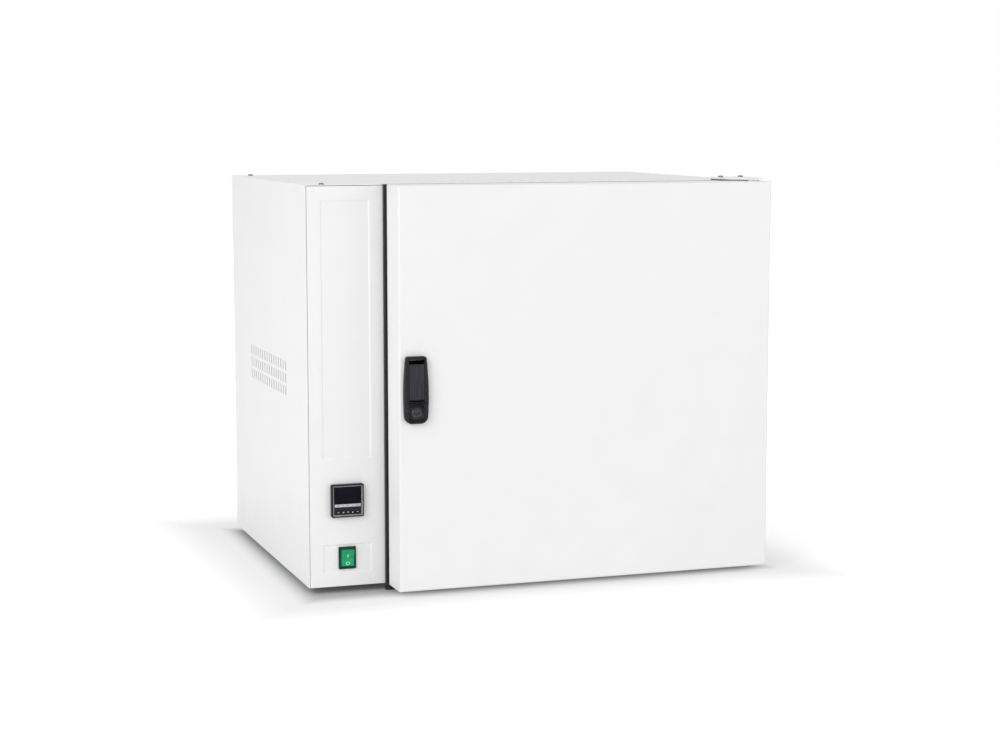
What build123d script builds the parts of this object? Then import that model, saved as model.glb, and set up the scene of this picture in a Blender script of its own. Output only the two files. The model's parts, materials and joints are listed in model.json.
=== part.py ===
from build123d import *
import math
import os

# Bench-top drying oven with a control column on its left and a door hinged on its right.
# x runs from left to right, y from front to back and z up. Sizes are millimetres, angles degrees.
# The origin lies under the middle of the whole oven, on the surface that it stands on.

# Case of painted sheet steel
case_width = 694.0
case_height = 580.0
case_depth = 500.0
foot_height = 10.0
foot_radius = 16.0
foot_inset = 62.0
foot_taper = 6.0
sheet = 1.2
flange = 14.0
panel_seam = 0.8
column_width = 113.5
fit_gap = 0.3
running_gap = 0.05

# Vent slots: a field in the left wall, one over the chamber and one behind the motor
side_vent_columns = 16
side_vent_rows = 3
side_vent_pitch = 15.6
side_vent_row_pitch = 19.0
side_vent_length = 14.0
side_vent_width = 5.0
top_vent_columns = 12
top_vent_rows = 3
top_vent_pitch = 32.0
top_vent_row_pitch = 36.0
top_vent_length = 26.0
top_vent_width = 4.0
top_vent_setback = 90.0
rear_vent_columns = 4
rear_vent_rows = 3

# Fasteners
screw_radius = 2.0
screw_head_radius = 3.9
screw_head_height = 2.2
screw_length = 7.0
rear_screw_inset = 7.0
rear_screw_end = 40.0
top_screw_inset = 26.0
top_screw_setback = 8.0

# Fascia of the control column, with an upper and a lower pressed field
recess_depth = 1.0
recess_margin = 19.5
recess_slope = 2.0
upper_recess_bottom = 186.5
upper_recess_top_margin = 22.0
lower_recess_bottom = 19.0
lower_recess_top = 62.0
fascia_return = 16.0

# Front frame round the chamber
frame_proud = 6.0
frame_sheet = 1.5
frame_floor_gap = 1.0

# Door, hung from a pin above it and a pin below it
door_thickness = 57.0
door_gap = 12.0
door_side_gap = 3.0
door_edge_radius = 3.0
door_batt_gap = 0.6
inner_panel_sheet = 1.0
gasket_thickness = 5.7
gasket_width = 14.0
gasket_margin = 50.0
gasket_chamfer = 2.0
plug_depth = 14.0
plug_side_gap = 8.0
plug_draft = 3.0

# Hinges
hinge_inset_x = 14.0
hinge_inset_y = 33.0
hinge_pin_radius = 4.0
hinge_pin_end_gap = 2.0
bush_wall = 2.5
bush_length = 14.0
bush_flange = 2.0
hinge_plate_thickness = 3.0
hinge_door_gap = 1.5
hinge_plate_width = 51.0
hinge_plate_side_gap = 1.0
hinge_plate_reach = 34.0
hinge_plate_overhang = 5.0
hinge_nose_radius = 9.0
hinge_screw_spacing = 33.0
hinge_screw_setback = 18.0

# Heated chamber, with a bay behind its insulation for the motor
chamber_width = 390.0
chamber_height = 390.0
motor_bay_depth = 39.0
rear_insulation = 40.0
plenum_depth = 40.0
liner_sheet = 1.0
liner_flange = 12.0

# Shelves and the ladders that carry them
ladder_sheet = 1.2
ladder_standoff = 9.0
ladder_width = 330.0
ladder_margin = 20.0
ladder_rung_count = 7
rung_depth = 8.0
rung_slot = 5.0
rung_slot_rise = 4.0
rung_end = 20.0
shelf_side_gap = 1.3
shelf_front_gap = 22.0
shelf_back_gap = 14.0
shelf_wire_radius = 1.6
shelf_frame_radius = 2.8
shelf_bearer_radius = 2.5
shelf_wire_end = 3.0
shelf_wire_count = 15
shelf_rungs = (2, 5)

# Air guide in front of the fan
air_guide_sheet = 1.0
air_guide_edge = 12.0
inlet_rings = 2
inlet_pitch = 21.0
inlet_hole_radius = 7.5
outlet_rows = 7
outlet_pitch = 46.0
outlet_offset = 165.0
outlet_width = 20.0
outlet_height = 14.0

# Circulation fan, its motor and the ring heater round it
fan_front_gap = 6.0
fan_radius = 75.0
fan_blade_count = 12
fan_blade_depth = 22.0
fan_blade_thickness = 1.2
fan_blade_root = 44.0
fan_blade_lag = 24.0
fan_blade_rim_gap = 2.0
fan_plate_thickness = 1.2
fan_hub_radius = 11.0
fan_hub_setback = 6.0
fan_shaft_radius = 4.0
fan_shaft_end = 4.0
shaft_hole_gap = 2.0
motor_radius = 36.0
motor_length = 32.0
motor_core_length = 16.0
motor_cap_step = 5.0
bracket_width = 130.0
bracket_height = 96.0
bracket_ear = 12.0
heater_radius = 92.0
heater_tube_radius = 4.2
heater_leg_offset = 20.0
heater_leg_end = 14.0
heater_back_gap = 14.0

# Temperature probe
probe_radius = 2.5
probe_reach = 40.0
probe_end = 20.0
probe_nut_radius = 6.0
probe_nut_height = 6.0
probe_offset = 140.0
probe_drop = 60.0

# Exhaust spigot with its damper
spigot_offset = 150.0
spigot_drop = 50.0
spigot_radius = 20.0
spigot_wall = 2.0
spigot_mouth_radius = 19.0
spigot_mouth_length = 26.0
spigot_inside = 3.0
spigot_length = 50.0
spigot_collar = 9.0
spigot_collar_thickness = 3.0
damper_offset = 8.0
damper_thickness = 1.5
damper_rim_gap = 0.5
spindle_radius = 2.5
spindle_low_end = 3.0
spindle_high_end = 12.0
damper_knob_radius = 8.0
damper_knob_height = 10.0
damper_knob_gap = 10.0
damper_wing_length = 12.0
damper_wing_width = 2.4
damper_wing_drop = 3.0

# Controller, 48 mm square, five keys below its window
controller_face = 48.0
controller_corner = 2.0
controller_chamfer = 1.0
controller_body = 44.6
controller_proud = 7.0
controller_body_depth = 88.0
controller_centre_height = 126.0
clamp_wall = 2.5
clamp_depth = 18.0
window_width = 40.0
window_height = 24.5
window_top_margin = 3.6
window_sink = 0.6
window_thickness = 1.2
window_edge_gap = 0.1
key_count = 5
key_width = 5.4
key_height = 4.2
key_pitch = 7.0
key_proud = 0.8
key_travel = 0.5
key_root = 2.0
key_well_gap = 0.5
key_row_drop = 16.6
key_chamfer = 0.4

# Rocker switch
switch_width = 25.7
switch_height = 32.8
switch_corner = 1.2
switch_chamfer = 0.7
switch_proud = 2.0
switch_body_depth = 24.0
switch_centre_height = 41.4
switch_barrel_width = 22.0
switch_barrel_height = 30.0
switch_well_depth = 14.0
switch_tab_width = 6.3
switch_tab_thickness = 0.8
switch_tab_length = 9.0
switch_tab_offset = 9.0
switch_pivot_radius = 1.5
switch_pivot_seat = 0.8
rocker_width = 18.6
rocker_height = 25.6
rocker_pivot_depth = 1.8
rocker_face_proud = 3.0
rocker_body_depth = 9.0
rocker_half_throw = 10.0
rocker_gap = 0.4

# Electrics on a rail in the column
rail_height = 330.0
rail_setback = 150.0
rail_length = 210.0
rail_depth = 7.5
rail_web = 27.0
rail_lips = 35.0
rail_sheet = 1.0
sink_setback = 170.0
sink_length = 60.0
sink_height = 70.0
sink_base = 6.0
sink_depth = 30.0
sink_fin_count = 7
sink_fin_pitch = 9.0
sink_fin_thickness = 2.0
relay_setback = 178.0
relay_length = 45.0
relay_depth = 24.0
relay_height = 58.0
relay_notch_depth = 10.0
relay_notch_length = 30.0
relay_notch_height = 8.0
relay_notch_offset = 24.0
terminal_setback = 260.0
terminal_count = 8
terminal_pitch = 9.0
terminal_height = 42.0
terminal_depth = 40.0
terminal_pocket_width = 5.5
terminal_pocket_height = 7.0
terminal_pocket_depth = 12.0
terminal_pocket_offset = 12.0
limiter_height = 230.0
limiter_setback = 260.0
limiter_length = 44.0
limiter_width = 34.0
limiter_depth = 30.0
limiter_button_radius = 4.0
limiter_button_length = 10.0

# Cable gland in the rear panel
gland_height = 60.0
gland_thread_radius = 8.0
gland_bore = 4.5
gland_inside = 10.0
gland_outside = 20.0
gland_nut_radius = 12.5
gland_nut_height = 8.0
gland_dome_gap = 1.0
gland_dome_height = 9.0
gland_lock_nut_height = 5.0

# Door latch
latch_width = 36.0
latch_height = 96.0
latch_top_width = 29.5
latch_bottom_width = 33.0
latch_top_corner = 3.5
latch_bottom_corner = 11.0
latch_chamfer = 1.8
latch_proud = 9.0
latch_inset = 23.7
latch_centre_height = 291.5
latch_tub_width = 27.0
latch_tub_height = 84.0
latch_tub_depth = 20.0
latch_wall = 2.0
paddle_width = 22.0
paddle_height = 53.0
paddle_thickness = 5.0
paddle_rise = 37.3
paddle_sink = 0.4
paddle_gap = 0.4
paddle_knuckle = 4.6
paddle_throw = 30.0
paddle_edge_radius = 1.2
paddle_pin_radius = 1.5
paddle_pin_seat = 1.5
paddle_tail = 17.0
paddle_tail_side_gap = 1.0
finger_slot_height = 6.3
hook_width = 12.0
hook_height = 8.0
hook_bite = 6.5
hook_nose = 4.0
hook_start = 10.0
hook_slot_clear = 2.0
hook_lead = 1.5
keeper_thickness = 1.5
keeper_width = 34.0
keeper_margin = 12.0
lock_radius = 8.0
lock_drop = 32.7
lock_sink = 0.6
lock_depth = 11.5
lock_seat_depth = 12.0
lock_slot_length = 9.0
lock_slot_width = 2.0
lock_slot_depth = 1.6

# Places worked out from the sizes above
oven_front = door_gap + door_thickness + latch_proud
oven_back = case_depth + spigot_length
front_y = oven_front - (oven_front + oven_back) / 2
back_y = front_y + case_depth
case_left = -case_width / 2
case_right = case_width / 2
case_bottom = foot_height
case_top = foot_height + case_height
column_right = case_left + column_width
column_x = (case_left + column_right) / 2

frame_front = front_y - frame_proud
door_back = front_y - door_gap
door_front = door_back - door_thickness
door_left = column_right + door_side_gap
door_right = case_right
door_bottom = case_bottom
door_top = case_top
hinge_x = door_right - hinge_inset_x
hinge_y = door_front + hinge_inset_y
plate_right = case_right - hinge_plate_side_gap
plate_left = plate_right - hinge_plate_width
upper_plate_low = case_top + hinge_door_gap
lower_plate_low = case_bottom - hinge_door_gap - hinge_plate_thickness

chamber_x = (column_right + case_right) / 2
chamber_z = (case_bottom + case_top) / 2
chamber_left = chamber_x - chamber_width / 2
chamber_right = chamber_x + chamber_width / 2
chamber_bottom = chamber_z - chamber_height / 2
chamber_top = chamber_z + chamber_height / 2
insulation_front = front_y + 2 * sheet
insulation_back = back_y - motor_bay_depth
liner_back = insulation_back - rear_insulation - liner_sheet
air_guide_y = liner_back - plenum_depth
motor_front = insulation_back + sheet
shaft_back = motor_front + motor_length + fan_shaft_end
shaft_hole_radius = fan_shaft_radius + shaft_hole_gap
fan_front = air_guide_y + air_guide_sheet + fan_front_gap
heater_y = liner_back - heater_back_gap
heater_gap_half = math.asin(heater_leg_offset / heater_radius)
heater_leg_z = chamber_z - heater_radius * math.cos(heater_gap_half)
ladder_y = (front_y + air_guide_y) / 2

side_vent_z = case_bottom + case_height / 2
top_vent_y = front_y + top_vent_setback
fascia_left = case_left + sheet + panel_seam

latch_x = door_left + latch_inset
latch_z = case_bottom + latch_centre_height
paddle_top = latch_z + paddle_rise
paddle_bottom = paddle_top - paddle_height
paddle_front = door_front - latch_proud + paddle_sink
pivot_y = paddle_front + paddle_knuckle
pivot_z = paddle_bottom + paddle_knuckle
hook_slide = paddle_tail * math.sin(math.radians(paddle_throw))
hook_bottom = pivot_z + paddle_pin_radius + fit_gap
hook_slot_low = hook_bottom - fit_gap - hook_slot_clear / 2
hook_slot_high = hook_bottom + hook_height + hook_slide + hook_slot_clear
lock_z = latch_z - lock_drop
tub_left = latch_x - latch_tub_width / 2
tub_right = latch_x + latch_tub_width / 2
tub_bottom = latch_z - latch_tub_height / 2
tub_top = latch_z + latch_tub_height / 2
tub_back = door_front + latch_tub_depth
keeper_back = frame_front + frame_sheet + keeper_thickness

controller_z = case_bottom + controller_centre_height
controller_front = front_y - controller_proud
window_high = controller_z + controller_face / 2 - window_top_margin
window_low = window_high - window_height
switch_z = case_bottom + switch_centre_height
rocker_pivot_y = front_y + rocker_pivot_depth
rail_z = case_bottom + rail_height
rail_face = column_right - rail_depth - rail_sheet

spigot_x = chamber_x + spigot_offset
spigot_z = chamber_top - spigot_drop
damper_y = back_y + damper_offset
spindle_top = spigot_z + spigot_radius + spindle_high_end
probe_x = chamber_x - probe_offset
probe_z = chamber_top - probe_drop
gland_x = column_x
gland_z = case_bottom + gland_height


def block(x_span, y_span, z_span):
    """Box between two values on each axis."""
    size = (x_span[1] - x_span[0], y_span[1] - y_span[0], z_span[1] - z_span[0])
    return Pos(x_span[0], y_span[0], z_span[0]) * Box(*size, align=(Align.MIN,) * 3)


def around(centre, width):
    """Span of a width centred on a value."""
    return (centre - width / 2, centre + width / 2)


def rod(start, end, radius):
    """Round bar between two points."""
    run = Vector(*end) - Vector(*start)
    ends = (Align.CENTER, Align.CENTER, Align.MIN)
    return Plane(origin=start, z_dir=run) * Cylinder(radius, run.length, align=ends)


def prism(start, end, radius, sides):
    """Straight bar with a regular outline between two points."""
    run = Vector(*end) - Vector(*start)
    return extrude(Plane(origin=start, z_dir=run) * RegularPolygon(radius, sides), run.length)


def along_x(y, z, half_length, radius):
    """Round pin across the latch or the switch, centred on the plane x = 0."""
    return rod((-half_length, y, z), (half_length, y, z), radius)


def screw_hole(place, direction):
    """Six-sided clearance hole for a screw that enters at a place on a surface."""
    point = Vector(*place)
    reach = Vector(*direction) * (screw_length + sheet)
    return prism(tuple(point - reach), tuple(point + reach), screw_radius + fit_gap, 6)


def front_plane(x, y, z):
    """Plane facing the front, with its own x to the right and its own y up."""
    return Plane(origin=(x, y, z), x_dir=(1, 0, 0), z_dir=(0, -1, 0))


def slot_cutters(plane, columns, rows, column_pitch, row_pitch, length, width):
    """Upright slots in a grid on a plane, as one group of cutters."""
    spots = GridLocations(column_pitch, row_pitch, columns, rows)
    return [plane * spot * Box(width, length, 8 * sheet) for spot in spots]


def save(name, *solids):
    """Write one sub-part, which may be a group of separate solids."""
    shape = solids[0] if len(solids) == 1 else Compound(children=list(solids))
    export_step(shape, f"parts/{name}.step")


# Case


def rear_screw_spots():
    """Points on the rear panel where it is screwed to the side panels' flanges."""
    heights = (case_bottom + rear_screw_end, chamber_z, case_top - rear_screw_end)
    sides = (case_left + sheet + rear_screw_inset, case_right - sheet - rear_screw_inset)
    return [(x, z) for x in sides for z in heights]


def top_screw_spots():
    """Points on the top cover where it is screwed down over the column."""
    ends = (front_y + top_screw_setback, back_y - top_screw_setback - flange)
    return [(case_left + top_screw_inset, y) for y in ends]


def side_panel(outer_x, inward):
    """Side wall with a flange turned in along its back."""
    inner_x = outer_x + inward * sheet
    turned_x = inner_x + inward * flange
    wall_top = case_top - sheet
    wall = block(sorted((outer_x, inner_x)), (front_y, back_y), (case_bottom, wall_top))
    flange_bottom = case_bottom + sheet + flange + fit_gap
    panel = wall + block(sorted((inner_x, turned_x)), (back_y - 2 * sheet, back_y - sheet),
                         (flange_bottom, wall_top))
    return panel - [screw_hole((x, back_y, z), (0, 1, 0)) for x, z in rear_screw_spots()]


def left_side_panel():
    """Left wall with its field of upright vent slots."""
    face = Plane(origin=(case_left, front_y + case_depth / 2, side_vent_z), x_dir=(0, -1, 0),
                 z_dir=(-1, 0, 0))
    slots = slot_cutters(face, side_vent_columns, side_vent_rows, side_vent_pitch,
                         side_vent_row_pitch, side_vent_length, side_vent_width)
    return side_panel(case_left, 1) - slots


def base_pan():
    """Floor of the case, with its four edges turned up."""
    pan = block((case_left + sheet, case_right - sheet), (front_y + sheet, back_y - sheet),
                (case_bottom, case_bottom + sheet + flange))
    pan -= block((case_left + 2 * sheet, case_right - 2 * sheet), (front_y + 2 * sheet, back_y - 2 * sheet),
                 (case_bottom + sheet, case_bottom + 2 * flange))
    return pan - [screw_hole((x, y, case_bottom), (0, 0, -1)) for x, y in hinge_screw_spots()]


def top_cover():
    """Lid of the case: a flat sheet with vent slots over the chamber and screw holes."""
    cover = block((case_left, case_right), (front_y, back_y), (case_top - sheet, case_top))
    face = Plane(origin=(chamber_x, top_vent_y, case_top), x_dir=(1, 0, 0), z_dir=(0, 0, 1))
    cover -= slot_cutters(face, top_vent_columns, top_vent_rows, top_vent_pitch,
                          top_vent_row_pitch, top_vent_length, top_vent_width)
    spots = top_screw_spots() + hinge_screw_spots()
    return cover - [screw_hole((x, y, case_top), (0, 0, 1)) for x, y in spots]


def rear_panel():
    """Back wall with vents behind the motor, the spigot's hole, the gland's hole and screw holes."""
    panel = block((case_left + sheet, case_right - sheet), (back_y - sheet, back_y),
                  (case_bottom, case_top - sheet))
    face = Plane(origin=(chamber_x, back_y, chamber_z), x_dir=(-1, 0, 0), z_dir=(0, 1, 0))
    panel -= slot_cutters(face, rear_vent_columns, rear_vent_rows, top_vent_pitch,
                          top_vent_row_pitch, top_vent_length, top_vent_width)
    cut = (back_y + sheet, back_y - 2 * sheet)
    for x, z, radius in ((spigot_x, spigot_z, spigot_radius), (gland_x, gland_z, gland_thread_radius)):
        panel -= prism((x, cut[1], z), (x, cut[0], z), radius + panel_seam, 16)
    return panel - [screw_hole((x, back_y, z), (0, 1, 0)) for x, z in rear_screw_spots()]


def column_divider():
    """Wall between the control column and the heated section, flanged at top and bottom."""
    depth = (front_y + 2 * sheet, back_y - 2 * sheet)
    flange_x = (column_right - flange, column_right)
    flange_y = (front_y + fascia_return + fit_gap, depth[1])
    floor = case_bottom + sheet
    ceiling = case_top - sheet
    wall = block((column_right, column_right + sheet), depth, (floor, ceiling))
    wall += block(flange_x, flange_y, (floor, floor + sheet))
    return wall + block(flange_x, flange_y, (ceiling - sheet, ceiling))


def fascia_recess(bottom, top):
    """Shallow pressed field of the fascia, with sloping edges."""
    width = column_right - fascia_left - 2 * recess_margin
    middle_x = (fascia_left + column_right) / 2
    middle_z = (bottom + top) / 2
    outer = front_plane(middle_x, front_y, middle_z) * Rectangle(width, top - bottom)
    inner = front_plane(middle_x, front_y + recess_depth, middle_z) * Rectangle(
        width - 2 * recess_slope, top - bottom - 2 * recess_slope)
    return loft([outer, inner])


def control_fascia():
    """Front of the control column: pressed sheet with turned-back edges and two cut-outs."""
    left = fascia_left
    right = column_right
    top = case_top - sheet - panel_seam
    plate = block((left, right), (front_y, front_y + sheet), (case_bottom, top))
    inset = sheet + recess_depth
    for low, high in ((case_bottom + upper_recess_bottom, case_top - upper_recess_top_margin),
                      (case_bottom + lower_recess_bottom, case_bottom + lower_recess_top)):
        plate += Pos(0, sheet, 0) * fascia_recess(low - inset, high + inset)
        plate -= fascia_recess(low, high)
    side_bottom = case_bottom + sheet + flange + fit_gap
    depth = (front_y, front_y + fascia_return)
    plate += block((left, left + sheet), depth, (side_bottom, top))
    plate += block((right - sheet, right), depth, (side_bottom, top))
    plate += block((left, right), depth, (top - sheet, top))
    plate -= [screw_hole((x, y, case_top), (0, 0, 1)) for x, y in top_screw_spots()]
    cut = (front_y - sheet, front_y + 2 * (sheet + recess_depth))
    opening = controller_body + 2 * fit_gap
    plate -= block(around(column_x, opening), cut, around(controller_z, opening))
    return plate - block(around(column_x, switch_barrel_width + 2 * fit_gap), cut,
                         around(switch_z, switch_barrel_height + 2 * fit_gap))


def front_frame():
    """Black frame round the chamber: formed sheet with its edges turned back to the case."""
    outer_z = (frame_floor_gap, case_top)
    depth = (frame_front, front_y)
    through = (frame_front - frame_sheet, front_y + frame_sheet)
    ring = block((column_right, case_right), depth, outer_z)
    ring -= block((column_right + frame_sheet, case_right - frame_sheet),
                  (frame_front + frame_sheet, through[1]),
                  (outer_z[0] + frame_sheet, outer_z[1] - frame_sheet))
    lip = frame_sheet
    ring += block((chamber_left - lip, chamber_right + lip), depth,
                  (chamber_bottom - lip, chamber_top + lip))
    ring -= block((chamber_left, chamber_right), through, (chamber_bottom, chamber_top))
    ring -= block(around(latch_x, hook_width + 2 * hook_slot_clear), (through[0], front_y),
                  (hook_slot_low, hook_slot_high))
    return ring - block((plate_left - fit_gap, case_right + frame_sheet), through,
                        (0, case_bottom - fit_gap))


def rubber_foot(x, y):
    """Foot that narrows a little towards the floor."""
    return extrude(Pos(x, y, foot_height) * RegularPolygon(foot_radius, 16), -foot_height, taper=foot_taper)


def rubber_feet():
    """Four feet, near the corners of the base pan."""
    xs = (case_left + foot_inset, case_right - foot_inset)
    ys = (front_y + foot_inset, back_y - foot_inset)
    return [rubber_foot(x, y) for x in xs for y in ys]


# Heated chamber


def heater_leg_spots():
    """Points where the heater's two legs pass through the liner's back."""
    return [(chamber_x + side * heater_leg_offset, heater_leg_z) for side in (-1, 1)]


def back_wall_holes(sides):
    """Cutters through the liner's back and the insulation, for all that passes through them."""
    passing = [(chamber_x, chamber_z, shaft_hole_radius), (probe_x, probe_z, probe_radius),
               (spigot_x, spigot_z, spigot_radius)]
    passing += [(x, z, heater_tube_radius) for x, z in heater_leg_spots()]
    # A cutter's flats, not its corners, clear what passes through.
    widen = 1 / math.cos(math.pi / sides)
    return [prism((x, liner_back - liner_sheet, z), (x, insulation_back + sheet, z),
                  (radius + fit_gap) * widen, sides)
            for x, z, radius in passing]


def chamber_liner():
    """Stainless box, open to the front, with a flange round its mouth."""
    outer = block((chamber_left - liner_sheet, chamber_right + liner_sheet),
                  (front_y, liner_back + liner_sheet),
                  (chamber_bottom - liner_sheet, chamber_top + liner_sheet))
    lip = liner_flange
    outer += block((chamber_left - lip, chamber_right + lip), (front_y, front_y + liner_sheet),
                   (chamber_bottom - lip, chamber_top + lip))
    outer -= block((chamber_left, chamber_right), (front_y - liner_sheet, liner_back),
                   (chamber_bottom, chamber_top))
    return outer - back_wall_holes(16)


def chamber_insulation():
    """Five mineral wool batts that fill the space between the liner and the case."""
    x_span = (column_right + sheet, case_right - 2 * sheet)
    z_span = (case_bottom + sheet, case_top - sheet)
    wrap_y = (insulation_front, liner_back + liner_sheet - fit_gap)
    below = chamber_bottom - liner_sheet
    above = chamber_top + liner_sheet
    side_z = (below + fit_gap, above - fit_gap)
    floor = block(x_span, wrap_y, (z_span[0], below))
    roof = block(x_span, wrap_y, (above, z_span[1]))
    for x, y in hinge_screw_spots():
        floor -= screw_hole((x, y, case_bottom), (0, 0, -1))
        roof -= screw_hole((x, y, case_top), (0, 0, 1))
    left = block((x_span[0], chamber_left - liner_sheet), wrap_y, side_z)
    right = block((chamber_right + liner_sheet, x_span[1]), wrap_y, side_z)
    back = block(x_span, (liner_back + liner_sheet, insulation_back), z_span) - back_wall_holes(8)
    return [floor, roof, left, right, back]


def rung_height(number):
    """Height of a ladder's rung above the ground, counted from one at the bottom."""
    return chamber_bottom + number * chamber_height / (ladder_rung_count + 1)


def shelf_ladder(wall_x, inward):
    """Upright sheet on the chamber's side with turned-in rungs for the shelves."""
    face_x = wall_x + inward * (ladder_standoff - ladder_sheet)
    inner_x = wall_x + inward * ladder_standoff
    low = chamber_bottom + ladder_margin
    high = chamber_top - ladder_margin
    rung_y = around(ladder_y, ladder_width - 2 * rung_end)
    ladder = block(sorted((face_x, inner_x)), around(ladder_y, ladder_width), (low, high))
    for end in (-1, 1):
        edge = ladder_y + end * ladder_width / 2
        ladder += block(sorted((wall_x, inner_x)), sorted((edge, edge - end * ladder_sheet)), (low, high))
    for number in range(1, ladder_rung_count + 1):
        z = rung_height(number)
        ladder += block(sorted((face_x, inner_x + inward * rung_depth)), rung_y, (z - ladder_sheet, z))
        slot_low = z + rung_slot_rise
        ladder -= block(sorted((wall_x, inner_x + inward)), rung_y, (slot_low, slot_low + rung_slot))
    return ladder


def wire_shelf(number):
    """Wire shelf: a rod frame with cross wires laid on three bearers, resting on the ladders' rungs."""
    half_width = chamber_width / 2 - ladder_standoff - shelf_side_gap - shelf_frame_radius
    z = rung_height(number) + shelf_frame_radius
    front = front_y + shelf_front_gap
    back = air_guide_y - shelf_back_gap
    left = chamber_x - half_width
    right = chamber_x + half_width
    shelf = prism((left, front, z), (left, back, z), shelf_frame_radius, 6)
    shelf += prism((right, front, z), (right, back, z), shelf_frame_radius, 6)
    for y in (front, (front + back) / 2, back):
        shelf += prism((left, y, z), (right, y, z), shelf_bearer_radius, 4)
    wire_z = z + shelf_bearer_radius
    step = 2 * half_width / (shelf_wire_count + 1)
    for wire in range(1, shelf_wire_count + 1):
        x = left + wire * step
        shelf += prism((x, front - shelf_wire_end, wire_z), (x, back + shelf_wire_end, wire_z),
                       shelf_wire_radius, 4)
    return shelf


def inlet_hole_spots():
    """Middles of the inlet's holes: rings of six, twelve and so on about the fan's axis."""
    spots = []
    for ring in range(1, inlet_rings + 1):
        for turn in range(6 * ring):
            angle = 2 * math.pi * turn / (6 * ring)
            spots.append((chamber_x + ring * inlet_pitch * math.cos(angle),
                          chamber_z + ring * inlet_pitch * math.sin(angle)))
    return spots


def air_guide():
    """Sheet in front of the fan, with inlet holes in its middle and outlets at its sides."""
    half = chamber_width / 2 - fit_gap
    guide = block(around(chamber_x, 2 * half), (air_guide_y, air_guide_y + air_guide_sheet),
                  (chamber_bottom + fit_gap, chamber_top - fit_gap))
    cut = (air_guide_y - air_guide_sheet, air_guide_y + 2 * air_guide_sheet)
    guide -= [prism((x, cut[0], z), (x, cut[1], z), inlet_hole_radius, 6) for x, z in inlet_hole_spots()]
    for side in (-1, 1):
        for row in range(outlet_rows):
            z = chamber_z + (row - (outlet_rows - 1) / 2) * outlet_pitch
            guide -= block(around(chamber_x + side * outlet_offset, outlet_width), cut,
                           around(z, outlet_height))
    guide -= prism((probe_x, cut[0], probe_z), (probe_x, cut[1], probe_z), probe_radius + 3 * fit_gap, 6)
    for side in (-1, 1):
        edge_x = chamber_x + side * half
        guide += block(sorted((edge_x, edge_x - side * air_guide_sheet)), (air_guide_y, liner_back),
                       (chamber_bottom + air_guide_edge, chamber_top - air_guide_edge))
    return guide


def ring_heater():
    """Tubular heater bent to a ring round the fan, its two legs passing out through the back."""
    start = -math.pi / 2 + heater_gap_half
    sweep_angle = 360 - 2 * math.degrees(heater_gap_half)
    section = Plane(origin=(chamber_x + heater_radius * math.cos(start), heater_y, heater_leg_z),
                    x_dir=(math.cos(start), 0, math.sin(start)),
                    z_dir=(math.sin(start), 0, -math.cos(start))) * RegularPolygon(heater_tube_radius, 6)
    heater = revolve(section, Axis((chamber_x, heater_y, chamber_z), (0, 1, 0)), -sweep_angle)
    for x, z in heater_leg_spots():
        heater += prism((x, heater_y - heater_tube_radius, z), (x, insulation_back + heater_leg_end, z),
                        heater_tube_radius, 6)
    return heater


# Fan


def fan_impeller():
    """Open centrifugal wheel: back plate, hub and a ring of flat blades that lean back."""
    blade_back = fan_front + fan_blade_depth
    plate_back = blade_back + fan_plate_thickness
    wheel = rod((chamber_x, blade_back, chamber_z), (chamber_x, plate_back, chamber_z), fan_radius)
    wheel += rod((chamber_x, fan_front + fan_hub_setback, chamber_z), (chamber_x, plate_back, chamber_z),
                 fan_hub_radius)
    reach = fan_radius - fan_blade_rim_gap
    lag = math.radians(fan_blade_lag)
    root = Vector(fan_blade_root, 0)
    tip = Vector(reach * math.cos(lag), reach * math.sin(lag))
    lean = math.degrees(math.atan2(tip.Y, tip.X - root.X))
    strip = Pos((root + tip) / 2) * Rot(0, 0, lean) * Rectangle((tip - root).length, fan_blade_thickness)
    base = front_plane(chamber_x, blade_back, chamber_z)
    for blade in range(fan_blade_count):
        wheel += extrude(base * Rot(0, 0, 360 * blade / fan_blade_count) * strip, fan_blade_depth)
    return wheel - rod((chamber_x, fan_front, chamber_z), (chamber_x, plate_back + sheet, chamber_z),
                       fan_shaft_radius)


def fan_shaft():
    """Steel shaft from the hub back through the motor."""
    front = fan_front + fan_hub_setback - sheet
    return rod((chamber_x, front, chamber_z), (chamber_x, shaft_back, chamber_z), fan_shaft_radius)


def fan_motor():
    """Short motor: a square laminated core between two end caps, bored for the shaft."""
    motor_back = motor_front + motor_length
    motor = prism((chamber_x, motor_front, chamber_z), (chamber_x, motor_back, chamber_z),
                  motor_radius - motor_cap_step, 16)
    core = block(around(chamber_x, 2 * motor_radius),
                 around((motor_front + motor_back) / 2, motor_core_length),
                 around(chamber_z, 2 * motor_radius))
    motor += chamfer(core.edges().filter_by(Axis.Y), motor_cap_step)
    return motor - rod((chamber_x, motor_front - sheet, chamber_z),
                       (chamber_x, motor_back + sheet, chamber_z), fan_shaft_radius + running_gap)


def motor_bracket():
    """Plate on the back of the insulation that carries the motor, with two bent sides."""
    height = around(chamber_z, bracket_height)
    plate = block(around(chamber_x, bracket_width), (insulation_back, motor_front), height)
    for side in (-1, 1):
        edge_x = chamber_x + side * bracket_width / 2
        plate += block(sorted((edge_x, edge_x - side * sheet)), (insulation_back, motor_front + bracket_ear),
                       height)
    hole = 2 * shaft_hole_radius
    return plate - block(around(chamber_x, hole), (insulation_back - sheet, motor_front + sheet),
                         around(chamber_z, hole))


# Sensor and exhaust


def temperature_probe():
    """Sheathed probe through the back wall, with a hexagon nut outside the insulation."""
    probe = prism((probe_x, air_guide_y - probe_reach, probe_z),
                  (probe_x, insulation_back + probe_end, probe_z), probe_radius, 12)
    return probe + prism((probe_x, insulation_back, probe_z),
                         (probe_x, insulation_back + probe_nut_height, probe_z), probe_nut_radius, 6)


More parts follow.
